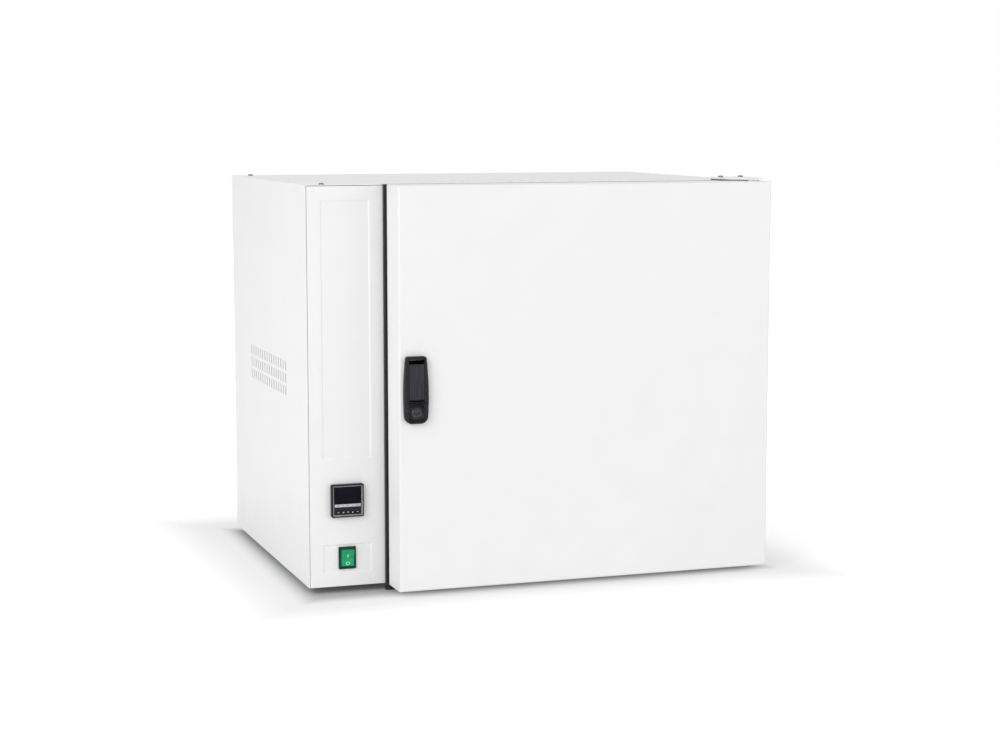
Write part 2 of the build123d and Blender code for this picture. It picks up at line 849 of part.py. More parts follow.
def exhaust_spigot():
    """Steel tube out through the rear panel, with a collar and a slimmer mouth for the hose."""
    start = liner_back - spigot_inside
    end = back_y + spigot_length
    mouth = end - spigot_mouth_length
    collar = prism((spigot_x, back_y, spigot_z), (spigot_x, back_y + spigot_collar_thickness, spigot_z),
                   spigot_radius + spigot_collar, 16)
    spigot = rod((spigot_x, start, spigot_z), (spigot_x, mouth, spigot_z), spigot_radius) + collar
    spigot += rod((spigot_x, mouth, spigot_z), (spigot_x, end, spigot_z), spigot_mouth_radius)
    spigot -= rod((spigot_x, start - spigot_wall, spigot_z), (spigot_x, end + spigot_wall, spigot_z),
                  spigot_radius - spigot_wall)
    reach = spigot_radius + spigot_wall
    return spigot - rod((spigot_x, damper_y, spigot_z - reach), (spigot_x, damper_y, spigot_z + reach),
                        spindle_radius + running_gap)


def damper_plate():
    """Round flap on its spindle, held closed across the spigot at rest."""
    flap = rod((spigot_x, damper_y - damper_thickness / 2, spigot_z),
               (spigot_x, damper_y + damper_thickness / 2, spigot_z),
               spigot_radius - spigot_wall - damper_rim_gap)
    return flap + rod((spigot_x, damper_y, spigot_z - spigot_radius - spindle_low_end),
                      (spigot_x, damper_y, spindle_top), spindle_radius)


def damper_knob():
    """Knob with a pointer wing on the damper's spindle."""
    low = spigot_z + spigot_radius + damper_knob_gap
    high = low + damper_knob_height
    knob = prism((spigot_x, damper_y, low), (spigot_x, damper_y, high), damper_knob_radius, 12)
    knob -= rod((spigot_x, damper_y, low - sheet), (spigot_x, damper_y, spindle_top), spindle_radius)
    return knob + block(around(spigot_x, damper_wing_width), (damper_y + spindle_radius + sheet,
                                                              damper_y + damper_wing_length),
                        (low + damper_wing_drop, high))


# Column electrics


def controller_case():
    """Square rear body of the controller, behind the fascia."""
    return block(around(column_x, controller_body), (front_y, front_y + controller_body_depth),
                 around(controller_z, controller_body))


def controller_clamp():
    """Sleeve round the controller's body that pulls it against the fascia."""
    inner = controller_body + 2 * fit_gap
    outer = inner + 2 * clamp_wall
    front = front_y + sheet
    sleeve = block(around(column_x, outer), (front, front + clamp_depth), around(controller_z, outer))
    return sleeve - block(around(column_x, inner), (front - sheet, front + clamp_depth + sheet),
                          around(controller_z, inner))


def key_spots():
    """Middle of each key, left to right."""
    first = column_x - (key_count - 1) * key_pitch / 2
    return [(first + number * key_pitch, controller_z - key_row_drop) for number in range(key_count)]


def controller_bezel():
    """Front of the controller: rounded square with a sunk window and five key wells."""
    outline = RectangleRounded(controller_face, controller_face, controller_corner)
    bezel = extrude(front_plane(column_x, front_y, controller_z) * outline, controller_proud)
    bezel = chamfer(bezel.faces().sort_by(Axis.Y)[0].outer_wire().edges(), controller_chamfer)
    start = controller_front - sheet
    window_back = controller_front + window_sink + window_thickness
    bezel -= block(around(column_x, window_width), (start, window_back), (window_low, window_high))
    well_floor = controller_front + key_root + key_travel + key_well_gap
    for x, z in key_spots():
        bezel -= block(around(x, key_width + 2 * fit_gap), (start, well_floor),
                       around(z, key_height + 2 * fit_gap))
    return bezel


def controller_window():
    """Dark display window sunk just below the bezel's front."""
    depth = (controller_front + window_sink, controller_front + window_sink + window_thickness)
    return block(around(column_x, window_width - 2 * window_edge_gap), depth,
                 (window_low + window_edge_gap, window_high - window_edge_gap))


def controller_key(x, z):
    """One key cap, standing a little proud of the bezel."""
    cap = block(around(x, key_width), (controller_front - key_proud, controller_front + key_root),
                around(z, key_height))
    return chamfer(cap.edges().group_by(Axis.Y)[0], key_chamfer)


def switch_pivot(radius, length):
    """Pin that the rocker tips on."""
    return Pos(column_x, 0, 0) * along_x(rocker_pivot_y, switch_z, length / 2, radius)


def switch_housing():
    """Switch body: a rim in front of the fascia, a barrel behind it and a well for the rocker."""
    outline = RectangleRounded(switch_width, switch_height, switch_corner)
    rim = extrude(front_plane(column_x, front_y, switch_z) * outline, switch_proud)
    rim = chamfer(rim.faces().sort_by(Axis.Y)[0].outer_wire().edges(), switch_chamfer)
    barrel_back = front_y + switch_body_depth
    body = rim + block(around(column_x, switch_barrel_width), (front_y, barrel_back),
                       around(switch_z, switch_barrel_height))
    body -= block(around(column_x, rocker_width + 2 * rocker_gap),
                  (front_y - 2 * switch_proud, front_y + switch_well_depth),
                  around(switch_z, rocker_height + 2 * rocker_gap))
    for row in (-1, 1):
        body += block(around(column_x, switch_tab_width), (barrel_back, barrel_back + switch_tab_length),
                      around(switch_z + row * switch_tab_offset, switch_tab_thickness))
    return body + switch_pivot(switch_pivot_radius, rocker_width + 2 * (rocker_gap + switch_pivot_seat))


def switch_rocker():
    """Rocker with two faces that meet in a shallow V and ends round its pivot, tipped to off."""
    half = rocker_height / 2
    tip = half * math.tan(math.radians(rocker_half_throw))
    # The outline has height first and reach out of the fascia second, about the rocker's middle.
    front = rocker_face_proud
    back = -rocker_body_depth
    profile = Polyline((0, front), (half, front + tip), (half, -rocker_pivot_depth), (half / 3, back),
                       (-half / 3, back), (-half, -rocker_pivot_depth), (-half, front + tip), close=True)
    face = Plane(origin=(column_x - rocker_width / 2, front_y, switch_z), x_dir=(0, 0, 1),
                 z_dir=(1, 0, 0)) * make_face(profile)
    rocker = extrude(face, rocker_width) & switch_pivot(half, rocker_width)
    rocker -= switch_pivot(switch_pivot_radius + running_gap, 2 * rocker_width)
    return rocker.rotate(Axis((column_x, rocker_pivot_y, switch_z), (1, 0, 0)), rocker_half_throw)


def mounting_rail():
    """Top-hat rail on the divider that carries the relay and the terminals."""
    start = front_y + rail_setback
    end = start + rail_length
    rail = block((rail_face + rail_sheet, column_right), (start, end), around(rail_z, rail_web))
    rail += block((rail_face, rail_face + rail_sheet), (start, end), around(rail_z, rail_lips))
    return rail - block((rail_face + 2 * rail_sheet, column_right + rail_sheet),
                        (start - rail_sheet, end + rail_sheet), around(rail_z, rail_web - 2 * rail_sheet))


def heat_sink():
    """Finned aluminium block on the rail, its fins pointing away from the divider."""
    start = front_y + sink_setback
    base_face = rail_face - sink_base
    sink = block((base_face, rail_face), (start, start + sink_length), around(rail_z, sink_height))
    for fin in range(sink_fin_count):
        y = start + sink_fin_thickness / 2 + fin * sink_fin_pitch
        sink += block((rail_face - sink_depth, base_face), (y, y + sink_fin_thickness),
                      around(rail_z, sink_height))
    return sink


def solid_state_relay():
    """Relay block on the ends of the heat sink's fins, notched at both ends for its screws."""
    right = rail_face - sink_depth
    left = right - relay_depth
    start = front_y + relay_setback
    relay = block((left, right), (start, start + relay_length), around(rail_z, relay_height))
    for end in (-1, 1):
        relay -= block((left - sheet, left + relay_notch_depth),
                       around(start + relay_length / 2, relay_notch_length),
                       around(rail_z + end * relay_notch_offset, relay_notch_height))
    return relay


def terminal_block():
    """Row of terminals on the rail, with a screw pocket at each end of every terminal."""
    start = front_y + terminal_setback
    left = rail_face - terminal_depth
    row = block((left, rail_face), (start, start + terminal_count * terminal_pitch),
                around(rail_z, terminal_height))
    for number in range(terminal_count):
        y = start + (number + 0.5) * terminal_pitch
        for end in (-1, 1):
            row -= block((left - sheet, left + terminal_pocket_depth), around(y, terminal_pocket_width),
                         around(rail_z + end * terminal_pocket_offset, terminal_pocket_height))
    return row


def temperature_limiter():
    """Over-temperature cut-out on the divider, below the rail, with its reset button."""
    z = case_bottom + limiter_height
    y = front_y + limiter_setback
    face = column_right - limiter_depth
    body = block((face, column_right), around(y, limiter_length), around(z, limiter_width))
    return body + prism((face, y, z), (face - limiter_button_length, y, z), limiter_button_radius, 8)


def cable_gland():
    """Gland through the rear panel: nut inside, two hexagons outside, bored for a cable."""
    inside = back_y - sheet
    dome = back_y + gland_nut_height + gland_dome_gap
    gland = prism((gland_x, inside - gland_inside, gland_z), (gland_x, back_y + gland_outside, gland_z),
                  gland_thread_radius, 16)
    for start, height in ((back_y, gland_nut_height), (dome, gland_dome_height),
                          (inside - gland_lock_nut_height, gland_lock_nut_height)):
        gland += prism((gland_x, start, gland_z), (gland_x, start + height, gland_z), gland_nut_radius, 6)
    return gland - rod((gland_x, inside - gland_inside - sheet, gland_z),
                       (gland_x, back_y + gland_outside + sheet, gland_z), gland_bore)


# Door


def door_blank(inset, radius):
    """Door-shaped block, its four front folds rounded, set in from the skin by some amount."""
    shape = block((door_left + inset, door_right - inset), (door_front + inset, door_back),
                  (door_bottom + inset, door_top - inset))
    return fillet(shape.faces().sort_by(Axis.Y)[0].edges(), radius)


def hook_channel(front, back):
    """Cutter for the hook's way through the door."""
    return block(around(latch_x, hook_width + 2 * hook_slot_clear), (front, back),
                 (hook_slot_low, hook_slot_high))


def door_shell():
    """Outer skin of the door: a deep tray with rounded front folds."""
    skin = door_blank(0, door_edge_radius) - door_blank(sheet, door_edge_radius - sheet)
    skin -= block((tub_left - fit_gap, tub_right + fit_gap), (door_front - sheet, door_front + 2 * sheet),
                  (tub_bottom - fit_gap, tub_top + fit_gap))
    for end_z in (door_top, door_bottom):
        skin -= prism((hinge_x, hinge_y, end_z - 2 * sheet), (hinge_x, hinge_y, end_z + 2 * sheet),
                      hinge_pin_radius + bush_wall + running_gap, 12)
    return skin


def plug_solid(inset):
    """Raised field of the inner skin as a tapered block, set in for its hollow."""
    width = chamber_width - 2 * plug_side_gap - 2 * inset
    height = chamber_height - 2 * plug_side_gap - 2 * inset
    base, top = [Plane(origin=(chamber_x, y, chamber_z), x_dir=(1, 0, 0), z_dir=(0, 1, 0))
                 for y in (door_back - inset * 1.5, door_back + plug_depth - inset)]
    return loft([base * Rectangle(width + 2 * plug_draft, height + 2 * plug_draft),
                 top * Rectangle(width, height)])


def door_inner_panel():
    """Stainless inner skin with a raised plug that stands into the chamber's mouth."""
    margin = sheet + fit_gap
    panel = block((door_left + margin, door_right - margin), (door_back - inner_panel_sheet, door_back),
                  (door_bottom + margin, door_top - margin))
    panel += plug_solid(0)
    panel -= plug_solid(inner_panel_sheet)
    return panel - hook_channel(door_back - 2 * inner_panel_sheet, door_back + inner_panel_sheet)


def door_insulation():
    """Mineral wool batts inside the door, cut round the latch's tub, the hook and the bushes."""
    inset = sheet + door_batt_gap
    x_span = (door_left + inset, door_right - inset)
    y_span = (door_front + inset, door_back - inner_panel_sheet)
    z_span = (door_bottom + inset, door_top - inset)
    beside = tub_right + fit_gap
    main = block((beside, x_span[1]), y_span, z_span)
    pocket = 2 * (hinge_pin_radius + bush_wall + fit_gap)
    for end_z in (door_top, door_bottom):
        main -= block(around(hinge_x, pocket), around(hinge_y, pocket),
                      around(end_z, 2 * (bush_length + fit_gap)))
    strip = (x_span[0], beside - fit_gap)
    low = tub_bottom - fit_gap
    high = tub_top + fit_gap
    below = block(strip, y_span, (z_span[0], low))
    above = block(strip, y_span, (high, z_span[1]))
    edge = block((x_span[0], tub_left - fit_gap), y_span, (low + fit_gap, high - fit_gap))
    behind_x = (tub_left, tub_right)
    behind_y = (tub_back + fit_gap, y_span[1])
    behind_low = block(behind_x, behind_y, (low + fit_gap, hook_slot_low))
    behind_high = block(behind_x, behind_y, (hook_slot_high, high - fit_gap))
    return [main, below, above, edge, behind_low, behind_high]


def door_gasket():
    """Silicone seal on the door's inner skin, closed round the chamber's mouth."""
    reach = chamber_left - column_right - gasket_margin
    depth = (door_back, door_back + gasket_thickness)
    width = chamber_width + 2 * reach
    height = chamber_height + 2 * reach
    seal = block(around(chamber_x, width), depth, around(chamber_z, height))
    seal -= block(around(chamber_x, width - 2 * gasket_width),
                  (door_back - gasket_thickness, door_back + 2 * gasket_thickness),
                  around(chamber_z, height - 2 * gasket_width))
    return chamfer(seal.faces().sort_by(Axis.Y)[-1].edges(), gasket_chamfer)


def hinge_bushes():
    """Flanged nylon bushes in the door's top and bottom, round the hinge pins."""
    outer = hinge_pin_radius + bush_wall
    bushes = []
    for face_z, inward in ((door_top, -1), (door_bottom, 1)):
        sleeve_end = face_z + inward * bush_length
        flange_end = face_z - inward * (hinge_door_gap - fit_gap)
        bush = prism((hinge_x, hinge_y, face_z), (hinge_x, hinge_y, sleeve_end), outer, 12)
        bush += prism((hinge_x, hinge_y, face_z), (hinge_x, hinge_y, flange_end), outer + bush_flange, 12)
        bush -= rod((hinge_x, hinge_y, flange_end - inward), (hinge_x, hinge_y, sleeve_end + inward),
                    hinge_pin_radius + running_gap)
        bushes.append(bush)
    return bushes


def hinge_screw_spots():
    """Points of the two screws in each hinge plate."""
    y = front_y + hinge_screw_setback
    return [(x, y) for x in around((plate_left + plate_right) / 2, hinge_screw_spacing)]


def hinge_plate(low):
    """Steel plate, a foot on the case and a nose out to the pin, drilled for two screws."""
    foot_front = front_y - hinge_plate_overhang
    foot_back = front_y + hinge_plate_reach
    nose_left = hinge_x - hinge_nose_radius
    nose_front = hinge_y - hinge_nose_radius
    corner = hinge_nose_radius / 2
    outline = Polyline((plate_left, foot_back), (plate_left, foot_front), (nose_left, hinge_y),
                       (nose_left + corner, nose_front), (plate_right - corner, nose_front),
                       (plate_right, nose_front + corner), (plate_right, foot_back), close=True)
    plate = extrude(Plane.XY.offset(low) * make_face(outline), hinge_plate_thickness)
    return plate - [screw_hole((x, y, low), (0, 0, 1)) for x, y in hinge_screw_spots()]


def upper_hinge_plate():
    """Plate over the top cover, its nose clear of the door, with the upper hinge pin."""
    pin_low = door_top - bush_length + hinge_pin_end_gap
    return hinge_plate(upper_plate_low) + rod((hinge_x, hinge_y, pin_low),
                                              (hinge_x, hinge_y, upper_plate_low), hinge_pin_radius)


def lower_hinge_plate():
    """Plate under the base pan, with the lower hinge pin."""
    top = lower_plate_low + hinge_plate_thickness
    pin_high = door_bottom + bush_length - hinge_pin_end_gap
    return hinge_plate(lower_plate_low) + rod((hinge_x, hinge_y, top), (hinge_x, hinge_y, pin_high),
                                              hinge_pin_radius)


def hinge_shims():
    """Black nylon shims between the hinge plates and the case, drilled for the screws."""
    shims = []
    for span in ((case_top, upper_plate_low), (case_bottom - hinge_door_gap, case_bottom)):
        shim = block((plate_left, plate_right), (front_y, front_y + hinge_plate_reach), span)
        shims.append(shim - [screw_hole((x, y, span[0]), (0, 0, 1)) for x, y in hinge_screw_spots()])
    return shims


# Latch


def latch_outline():
    """Outline of the latch body: bowed sides, small top corners and large bottom corners."""
    half = latch_height / 2
    top = latch_top_width / 2
    bottom = latch_bottom_width / 2
    wide = latch_width / 2
    edges = Curve() + [
        Line((-top, half), (top, half)),
        ThreePointArc((top, half), (wide, 0), (bottom, -half)),
        Line((bottom, -half), (-bottom, -half)),
        ThreePointArc((-bottom, -half), (-wide, 0), (-top, half)),
    ]
    face = make_face(edges)
    face = fillet(face.vertices().group_by(Axis.Y)[-1], latch_top_corner)
    return fillet(face.vertices().group_by(Axis.Y)[0], latch_bottom_corner)


def across_latch(y, z, half_length, radius):
    """Round bar across the latch, from side to side."""
    return Pos(latch_x, 0, 0) * along_x(y, z, half_length, radius)


def latch_body():
    """Moulded latch body: chamfered rim in front of the door and a tub behind its skin."""
    rim = extrude(front_plane(latch_x, door_front, latch_z) * latch_outline(), latch_proud)
    rim = chamfer(rim.faces().sort_by(Axis.Y)[0].outer_wire().edges(), latch_chamfer)
    body = rim + block((tub_left, tub_right), (door_front, tub_back), (tub_bottom, tub_top))
    start = door_front - latch_proud - sheet
    well_width = paddle_width + 2 * paddle_gap
    body -= block(around(latch_x, well_width), (start, tub_back - latch_wall),
                  (paddle_bottom - paddle_gap, paddle_top + finger_slot_height))
    body -= hook_channel(tub_back - 2 * latch_wall, tub_back + latch_wall)
    body -= rod((latch_x, start, lock_z), (latch_x, door_front + lock_seat_depth, lock_z),
                lock_radius + running_gap)
    return body - across_latch(pivot_y, pivot_z, well_width / 2 + paddle_pin_seat, paddle_pin_radius)


def latch_paddle():
    """Pull paddle with a round knuckle about its pin and a tail that lifts the hook."""
    blade = block(around(latch_x, paddle_width), (paddle_front, paddle_front + paddle_thickness),
                  (pivot_z, paddle_top))
    top_edge = blade.edges().filter_by(Axis.X).group_by(Axis.Y)[0].sort_by(Axis.Z)[-1]
    blade = fillet(top_edge, paddle_edge_radius)
    knuckle = across_latch(pivot_y, pivot_z, paddle_width / 2, paddle_knuckle)
    tail_width = hook_width - 2 * paddle_tail_side_gap
    tail_end = pivot_y + paddle_tail - paddle_pin_radius
    tail = block(around(latch_x, tail_width), (pivot_y, tail_end), around(pivot_z, 2 * paddle_pin_radius))
    tail += across_latch(tail_end, pivot_z, tail_width / 2, paddle_pin_radius)
    return blade + knuckle + tail - across_latch(pivot_y, pivot_z, paddle_width,
                                                 paddle_pin_radius + running_gap)


def paddle_pin():
    """Steel pin that the paddle turns on, pressed into the latch body's walls."""
    return across_latch(pivot_y, pivot_z, paddle_width / 2 + paddle_gap + paddle_pin_seat, paddle_pin_radius)


def latch_hook():
    """Steel bar from the paddle's tail through the door, with a nose down behind the keeper."""
    back = keeper_back + fit_gap + hook_nose
    width = around(latch_x, hook_width)
    top = hook_bottom + hook_height
    hook = block(width, (pivot_y + hook_start, back), (hook_bottom, top))
    hook += block(width, (back - hook_nose, back), (hook_bottom - hook_bite, top))
    corner = hook.edges().filter_by(Axis.X).group_by(Axis.Z)[0].sort_by(Axis.Y)[-1]
    return chamfer(corner, hook_lead)


def latch_keeper():
    """Steel plate behind the front frame that the hook's nose catches."""
    front = frame_front + frame_sheet
    plate = block(around(latch_x, keeper_width), (front, keeper_back),
                  (hook_slot_low - keeper_margin, hook_slot_high + keeper_margin))
    return plate - hook_channel(front - keeper_thickness, keeper_back + keeper_thickness)


def lock_cylinder():
    """Round lock below the paddle, with a shallow slot across its face."""
    front = door_front - latch_proud + lock_sink
    cylinder = rod((latch_x, front, lock_z), (latch_x, door_front + lock_depth, lock_z), lock_radius)
    cylinder = chamfer(cylinder.faces().sort_by(Axis.Y)[0].edges(), lock_sink)
    return cylinder - block(around(latch_x, lock_slot_length), (front - sheet, front + lock_slot_depth),
                            around(lock_z, lock_slot_width))


# Screws


def pan_head_screw(place, direction):
    """Pan-head screw, its head outside the surface at a place and its shank going in."""
    point = Vector(*place)
    outward = Vector(*direction)
    shank = prism(tuple(point - outward * screw_length), tuple(point), screw_radius, 6)
    return shank + prism(tuple(point), tuple(point + outward * screw_head_height), screw_head_radius, 12)


def case_screws():
    """Screws of the rear panel and of the top cover."""
    screws = [pan_head_screw((x, back_y, z), (0, 1, 0)) for x, z in rear_screw_spots()]
    return screws + [pan_head_screw((x, y, case_top), (0, 0, 1)) for x, y in top_screw_spots()]


def hinge_screws():
    """Two screws in each hinge plate."""
    top = upper_plate_low + hinge_plate_thickness
    screws = [pan_head_screw((x, y, top), (0, 0, 1)) for x, y in hinge_screw_spots()]
    return screws + [pan_head_screw((x, y, lower_plate_low), (0, 0, -1)) for x, y in hinge_screw_spots()]


def main():
    os.makedirs("parts", exist_ok=True)
    save("left_side_panel", left_side_panel())
    save("right_side_panel", side_panel(case_right, -1))
    save("base_pan", base_pan())
    save("top_cover", top_cover())
    save("rear_panel", rear_panel())
    save("column_divider", column_divider())
    save("control_fascia", control_fascia())
    save("front_frame", front_frame())
    save("rubber_feet", *rubber_feet())
    save("chamber_liner", chamber_liner())
    save("chamber_insulation", *chamber_insulation())
    save("shelf_ladder_left", shelf_ladder(chamber_left, 1))
    save("shelf_ladder_right", shelf_ladder(chamber_right, -1))
    save("lower_shelf", wire_shelf(shelf_rungs[0]))
    save("upper_shelf", wire_shelf(shelf_rungs[1]))
    save("air_guide", air_guide())
    save("ring_heater", ring_heater())
    save("fan_impeller", fan_impeller())
    save("fan_shaft", fan_shaft())
    save("fan_motor", fan_motor())
    save("motor_bracket", motor_bracket())
    save("temperature_probe", temperature_probe())
    save("exhaust_spigot", exhaust_spigot())
    save("damper_plate", damper_plate())
    save("damper_knob", damper_knob())
    save("controller_case", controller_case())
    save("controller_clamp", controller_clamp())
    save("controller_bezel", controller_bezel())
    save("controller_window", controller_window())
    for number, (x, z) in enumerate(key_spots(), start=1):
        save(f"controller_key_{number}", controller_key(x, z))
    save("switch_housing", switch_housing())
    save("switch_rocker", switch_rocker())
    save("mounting_rail", mounting_rail())
    save("heat_sink", heat_sink())
    save("solid_state_relay", solid_state_relay())
    save("terminal_block", terminal_block())
    save("temperature_limiter", temperature_limiter())
    save("cable_gland", cable_gland())
    save("door_shell", door_shell())
    save("door_inner_panel", door_inner_panel())
    save("door_insulation", *door_insulation())
    save("door_gasket", door_gasket())
    save("hinge_bushes", *hinge_bushes())
    save("upper_hinge_plate", upper_hinge_plate())
    save("lower_hinge_plate", lower_hinge_plate())
    save("hinge_shims", *hinge_shims())
    save("latch_body", latch_body())
    save("latch_paddle", latch_paddle())
    save("paddle_pin", paddle_pin())
    save("latch_hook", latch_hook())
    save("latch_keeper", latch_keeper())
    save("lock_cylinder", lock_cylinder())
    save("case_screws", *case_screws())
    save("hinge_screws", *hinge_screws())


main()
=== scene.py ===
import json
import math

import bmesh
import bpy
import numpy as np
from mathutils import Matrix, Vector


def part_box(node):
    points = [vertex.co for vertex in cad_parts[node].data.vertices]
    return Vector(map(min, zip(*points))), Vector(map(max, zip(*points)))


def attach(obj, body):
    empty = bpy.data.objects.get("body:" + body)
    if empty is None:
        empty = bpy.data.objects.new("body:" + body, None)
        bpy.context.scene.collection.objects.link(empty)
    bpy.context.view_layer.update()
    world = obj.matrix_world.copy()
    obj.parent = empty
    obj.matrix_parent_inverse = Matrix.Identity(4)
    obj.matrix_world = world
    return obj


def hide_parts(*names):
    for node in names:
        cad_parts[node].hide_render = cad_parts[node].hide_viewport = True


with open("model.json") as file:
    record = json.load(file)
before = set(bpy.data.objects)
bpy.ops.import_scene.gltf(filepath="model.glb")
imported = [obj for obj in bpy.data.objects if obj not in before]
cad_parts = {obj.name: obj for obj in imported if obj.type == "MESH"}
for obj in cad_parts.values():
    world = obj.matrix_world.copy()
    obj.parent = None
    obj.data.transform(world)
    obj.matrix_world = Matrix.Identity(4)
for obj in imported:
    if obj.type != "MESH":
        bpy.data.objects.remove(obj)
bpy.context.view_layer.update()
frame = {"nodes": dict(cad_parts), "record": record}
nodes = frame["nodes"]
print("frame loaded:", len(nodes), "nodes")

mm = 0.001  # metres in a millimetre


def middle(node):
    # centre of a node's box
    low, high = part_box(node)
    return tuple((low[k] + high[k]) / 2 for k in range(3))


def meshPiece(name, points, faceSets):
    mesh = bpy.data.meshes.new(name)
    faces = [face for faceSet in faceSets for face in np.asarray(faceSet).tolist()]
    mesh.from_pydata(np.asarray(points, float).tolist(), [], faces)
    piece = bpy.data.objects.new(name, mesh)
    bpy.context.scene.collection.objects.link(piece)
    return piece


creaseDeg = 35  # edges bent more than this stay sharp


def outward(piece):
    # merge doubled points, drop unused ones, turn every face outwards, and smooth all but the sharp edges
    mesh = bmesh.new()
    mesh.from_mesh(piece.data)
    bmesh.ops.remove_doubles(mesh, verts=mesh.verts, dist=1e-6)
    bmesh.ops.delete(mesh, geom=[v for v in mesh.verts if not v.link_faces], context="VERTS")
    bmesh.ops.recalc_face_normals(mesh, faces=mesh.faces)
    mesh.to_mesh(piece.data)
    mesh.free()
    piece.data.polygons.foreach_set("use_smooth", np.ones(len(piece.data.polygons), bool))
    piece.data.set_sharp_from_angle(angle=math.radians(creaseDeg))
    return piece


def gridFaces(rows, columns, closeU=False, closeV=False):
    # quad (i, j) joins points (i, j), (i+1, j), (i+1, j+1) and (i, j+1), wrapping where a side is closed
    i, j = np.meshgrid(np.arange(rows if closeU else rows - 1),
                       np.arange(columns if closeV else columns - 1), indexing="ij")
    nextI = (i + 1) % rows
    nextJ = (j + 1) % columns
    corners = [i * columns + j, nextI * columns + j, nextI * columns + nextJ, i * columns + nextJ]
    return np.stack(corners, axis=-1).reshape(-1, 4)


def ringStack(name, rings):
    # rings[k, j] is point j of ring k; the rings are joined in order, with a flat face over each end
    rings = np.asarray(rings, float)
    rows, count = rings.shape[:2]
    ends = [np.arange(count)[::-1][None], ((rows - 1) * count + np.arange(count))[None]]
    return outward(meshPiece(name, rings.reshape(-1, 3), [gridFaces(rows, count, closeV=True), *ends]))


def loopStack(name, rings):
    # as ringStack, but the last ring is joined back to the first, as round a moulding
    rings = np.asarray(rings, float)
    faces = gridFaces(*rings.shape[:2], closeU=True, closeV=True)
    return outward(meshPiece(name, rings.reshape(-1, 3), [faces]))


def roundedRing(centre, width, height, radius, y, perCorner=7):
    # rectangle with quarter circles at its corners, facing along y: point = (cx + a, y, cz + b)
    turn = np.linspace(0, np.pi / 2, perCorner)[None] + np.arange(4)[:, None] * np.pi / 2
    signs = np.array([(1, 1), (-1, 1), (-1, -1), (1, -1)])
    across = signs[:, :1] * (width / 2 - radius) + radius * np.cos(turn)
    up = signs[:, 1:] * (height / 2 - radius) + radius * np.sin(turn)
    ring = np.stack([centre[0] + across * mm, np.full_like(across, y), centre[1] + up * mm], axis=-1)
    return ring.reshape(-1, 3)


def lathe(name, profile, origin, axis, across, segments=40):
    # point = origin + axis * h(u) + r(u) * (across * cos v + (axis x across) * sin v), sizes in millimetres
    profile = np.asarray(profile, float) * mm
    turn = np.linspace(0, 2 * np.pi, segments, endpoint=False)
    axis = np.asarray(axis, float)
    across = np.asarray(across, float)
    ring = np.cos(turn)[:, None] * across + np.sin(turn)[:, None] * np.cross(axis, across)
    points = np.asarray(origin, float) + profile[:, None, 1:2] * axis + profile[:, None, :1] * ring[None]
    faces = gridFaces(*points.shape[:2], closeU=bool(np.min(profile[:, 0]) > 1e-6), closeV=True)
    return outward(meshPiece(name, points.reshape(-1, 3), [faces]))


def rod(radius, start, end):
    # profile of a plain round bar
    return [(0, start), (radius, start), (radius, end), (0, end)]


def reliefDisc(name, centre, axis, across, radius, depth, height, rings=18, segments=48):
    # polar grid: point = centre + a * across + b * side + height(a, b) * axis, with a skirt and a flat back
    r = np.linspace(0, radius, rings)[:, None]
    turn = np.linspace(0, 2 * np.pi, segments, endpoint=False)[None]
    a = r * np.cos(turn)
    b = r * np.sin(turn)
    h = height(a, b)
    a = np.concatenate([a, a[-1:], a[:1]])
    b = np.concatenate([b, b[-1:], b[:1]])
    h = np.concatenate([h, np.full((2, segments), -depth)])
    axis = np.asarray(axis, float)
    across = np.asarray(across, float)
    side = np.cross(axis, across)
    offsets = a[..., None] * across + b[..., None] * side + h[..., None] * axis
    points = np.asarray(centre, float) + offsets * mm
    return outward(meshPiece(name, points.reshape(-1, 3), [gridFaces(*points.shape[:2], closeV=True)]))


def thickSheet(name, front, back, keep=None):
    # two sheets over one grid, joined by a wall along every edge with a kept cell on one side only
    rows, columns = front.shape[:2]
    if keep is None:
        keep = np.ones((rows - 1, columns - 1), bool)
    cells = gridFaces(rows, columns)[keep.reshape(-1)]
    count = rows * columns
    starts = cells.reshape(-1)
    ends = np.roll(cells, -1, axis=1).reshape(-1)
    rim = ~np.isin(starts * count + ends, ends * count + starts)
    walls = np.stack([ends[rim], starts[rim], starts[rim] + count, ends[rim] + count], axis=1)
    points = np.concatenate([front.reshape(-1, 3), back.reshape(-1, 3)])
    return outward(meshPiece(name, points, [cells, cells[:, ::-1] + count, walls]))


def carrySection(name, path, section, normal, closed=False):
    # point = path(u) + side(u) * s(v) + normal * t(v), where side is across the path in its plane
    path = np.asarray(path, float)
    section = np.asarray(section, float) * mm
    normal = np.asarray(normal, float)
    if closed:
        ahead = np.roll(path, -1, 0) - path
        behind = path - np.roll(path, 1, 0)
    else:
        ahead = np.diff(path, axis=0, append=path[-1:] * 2 - path[-2:-1])
        behind = np.diff(path, axis=0, prepend=path[:1] * 2 - path[1:2])
    ahead /= np.linalg.norm(ahead, axis=1, keepdims=True)
    behind /= np.linalg.norm(behind, axis=1, keepdims=True)
    mitre = np.cross(ahead, normal) + np.cross(behind, normal)
    mitre *= 2 / np.sum(mitre * mitre, axis=1, keepdims=True)
    points = path[:, None] + mitre[:, None] * section[None, :, :1] + normal * section[None, :, 1:2]
    return loopStack(name, points) if closed else ringStack(name, points)


def roundSection(radius, sides):
    # regular polygon with its corners on the circle
    turn = np.linspace(0, 2 * np.pi, sides, endpoint=False)
    return radius * np.stack([np.cos(turn), np.sin(turn)], axis=1)


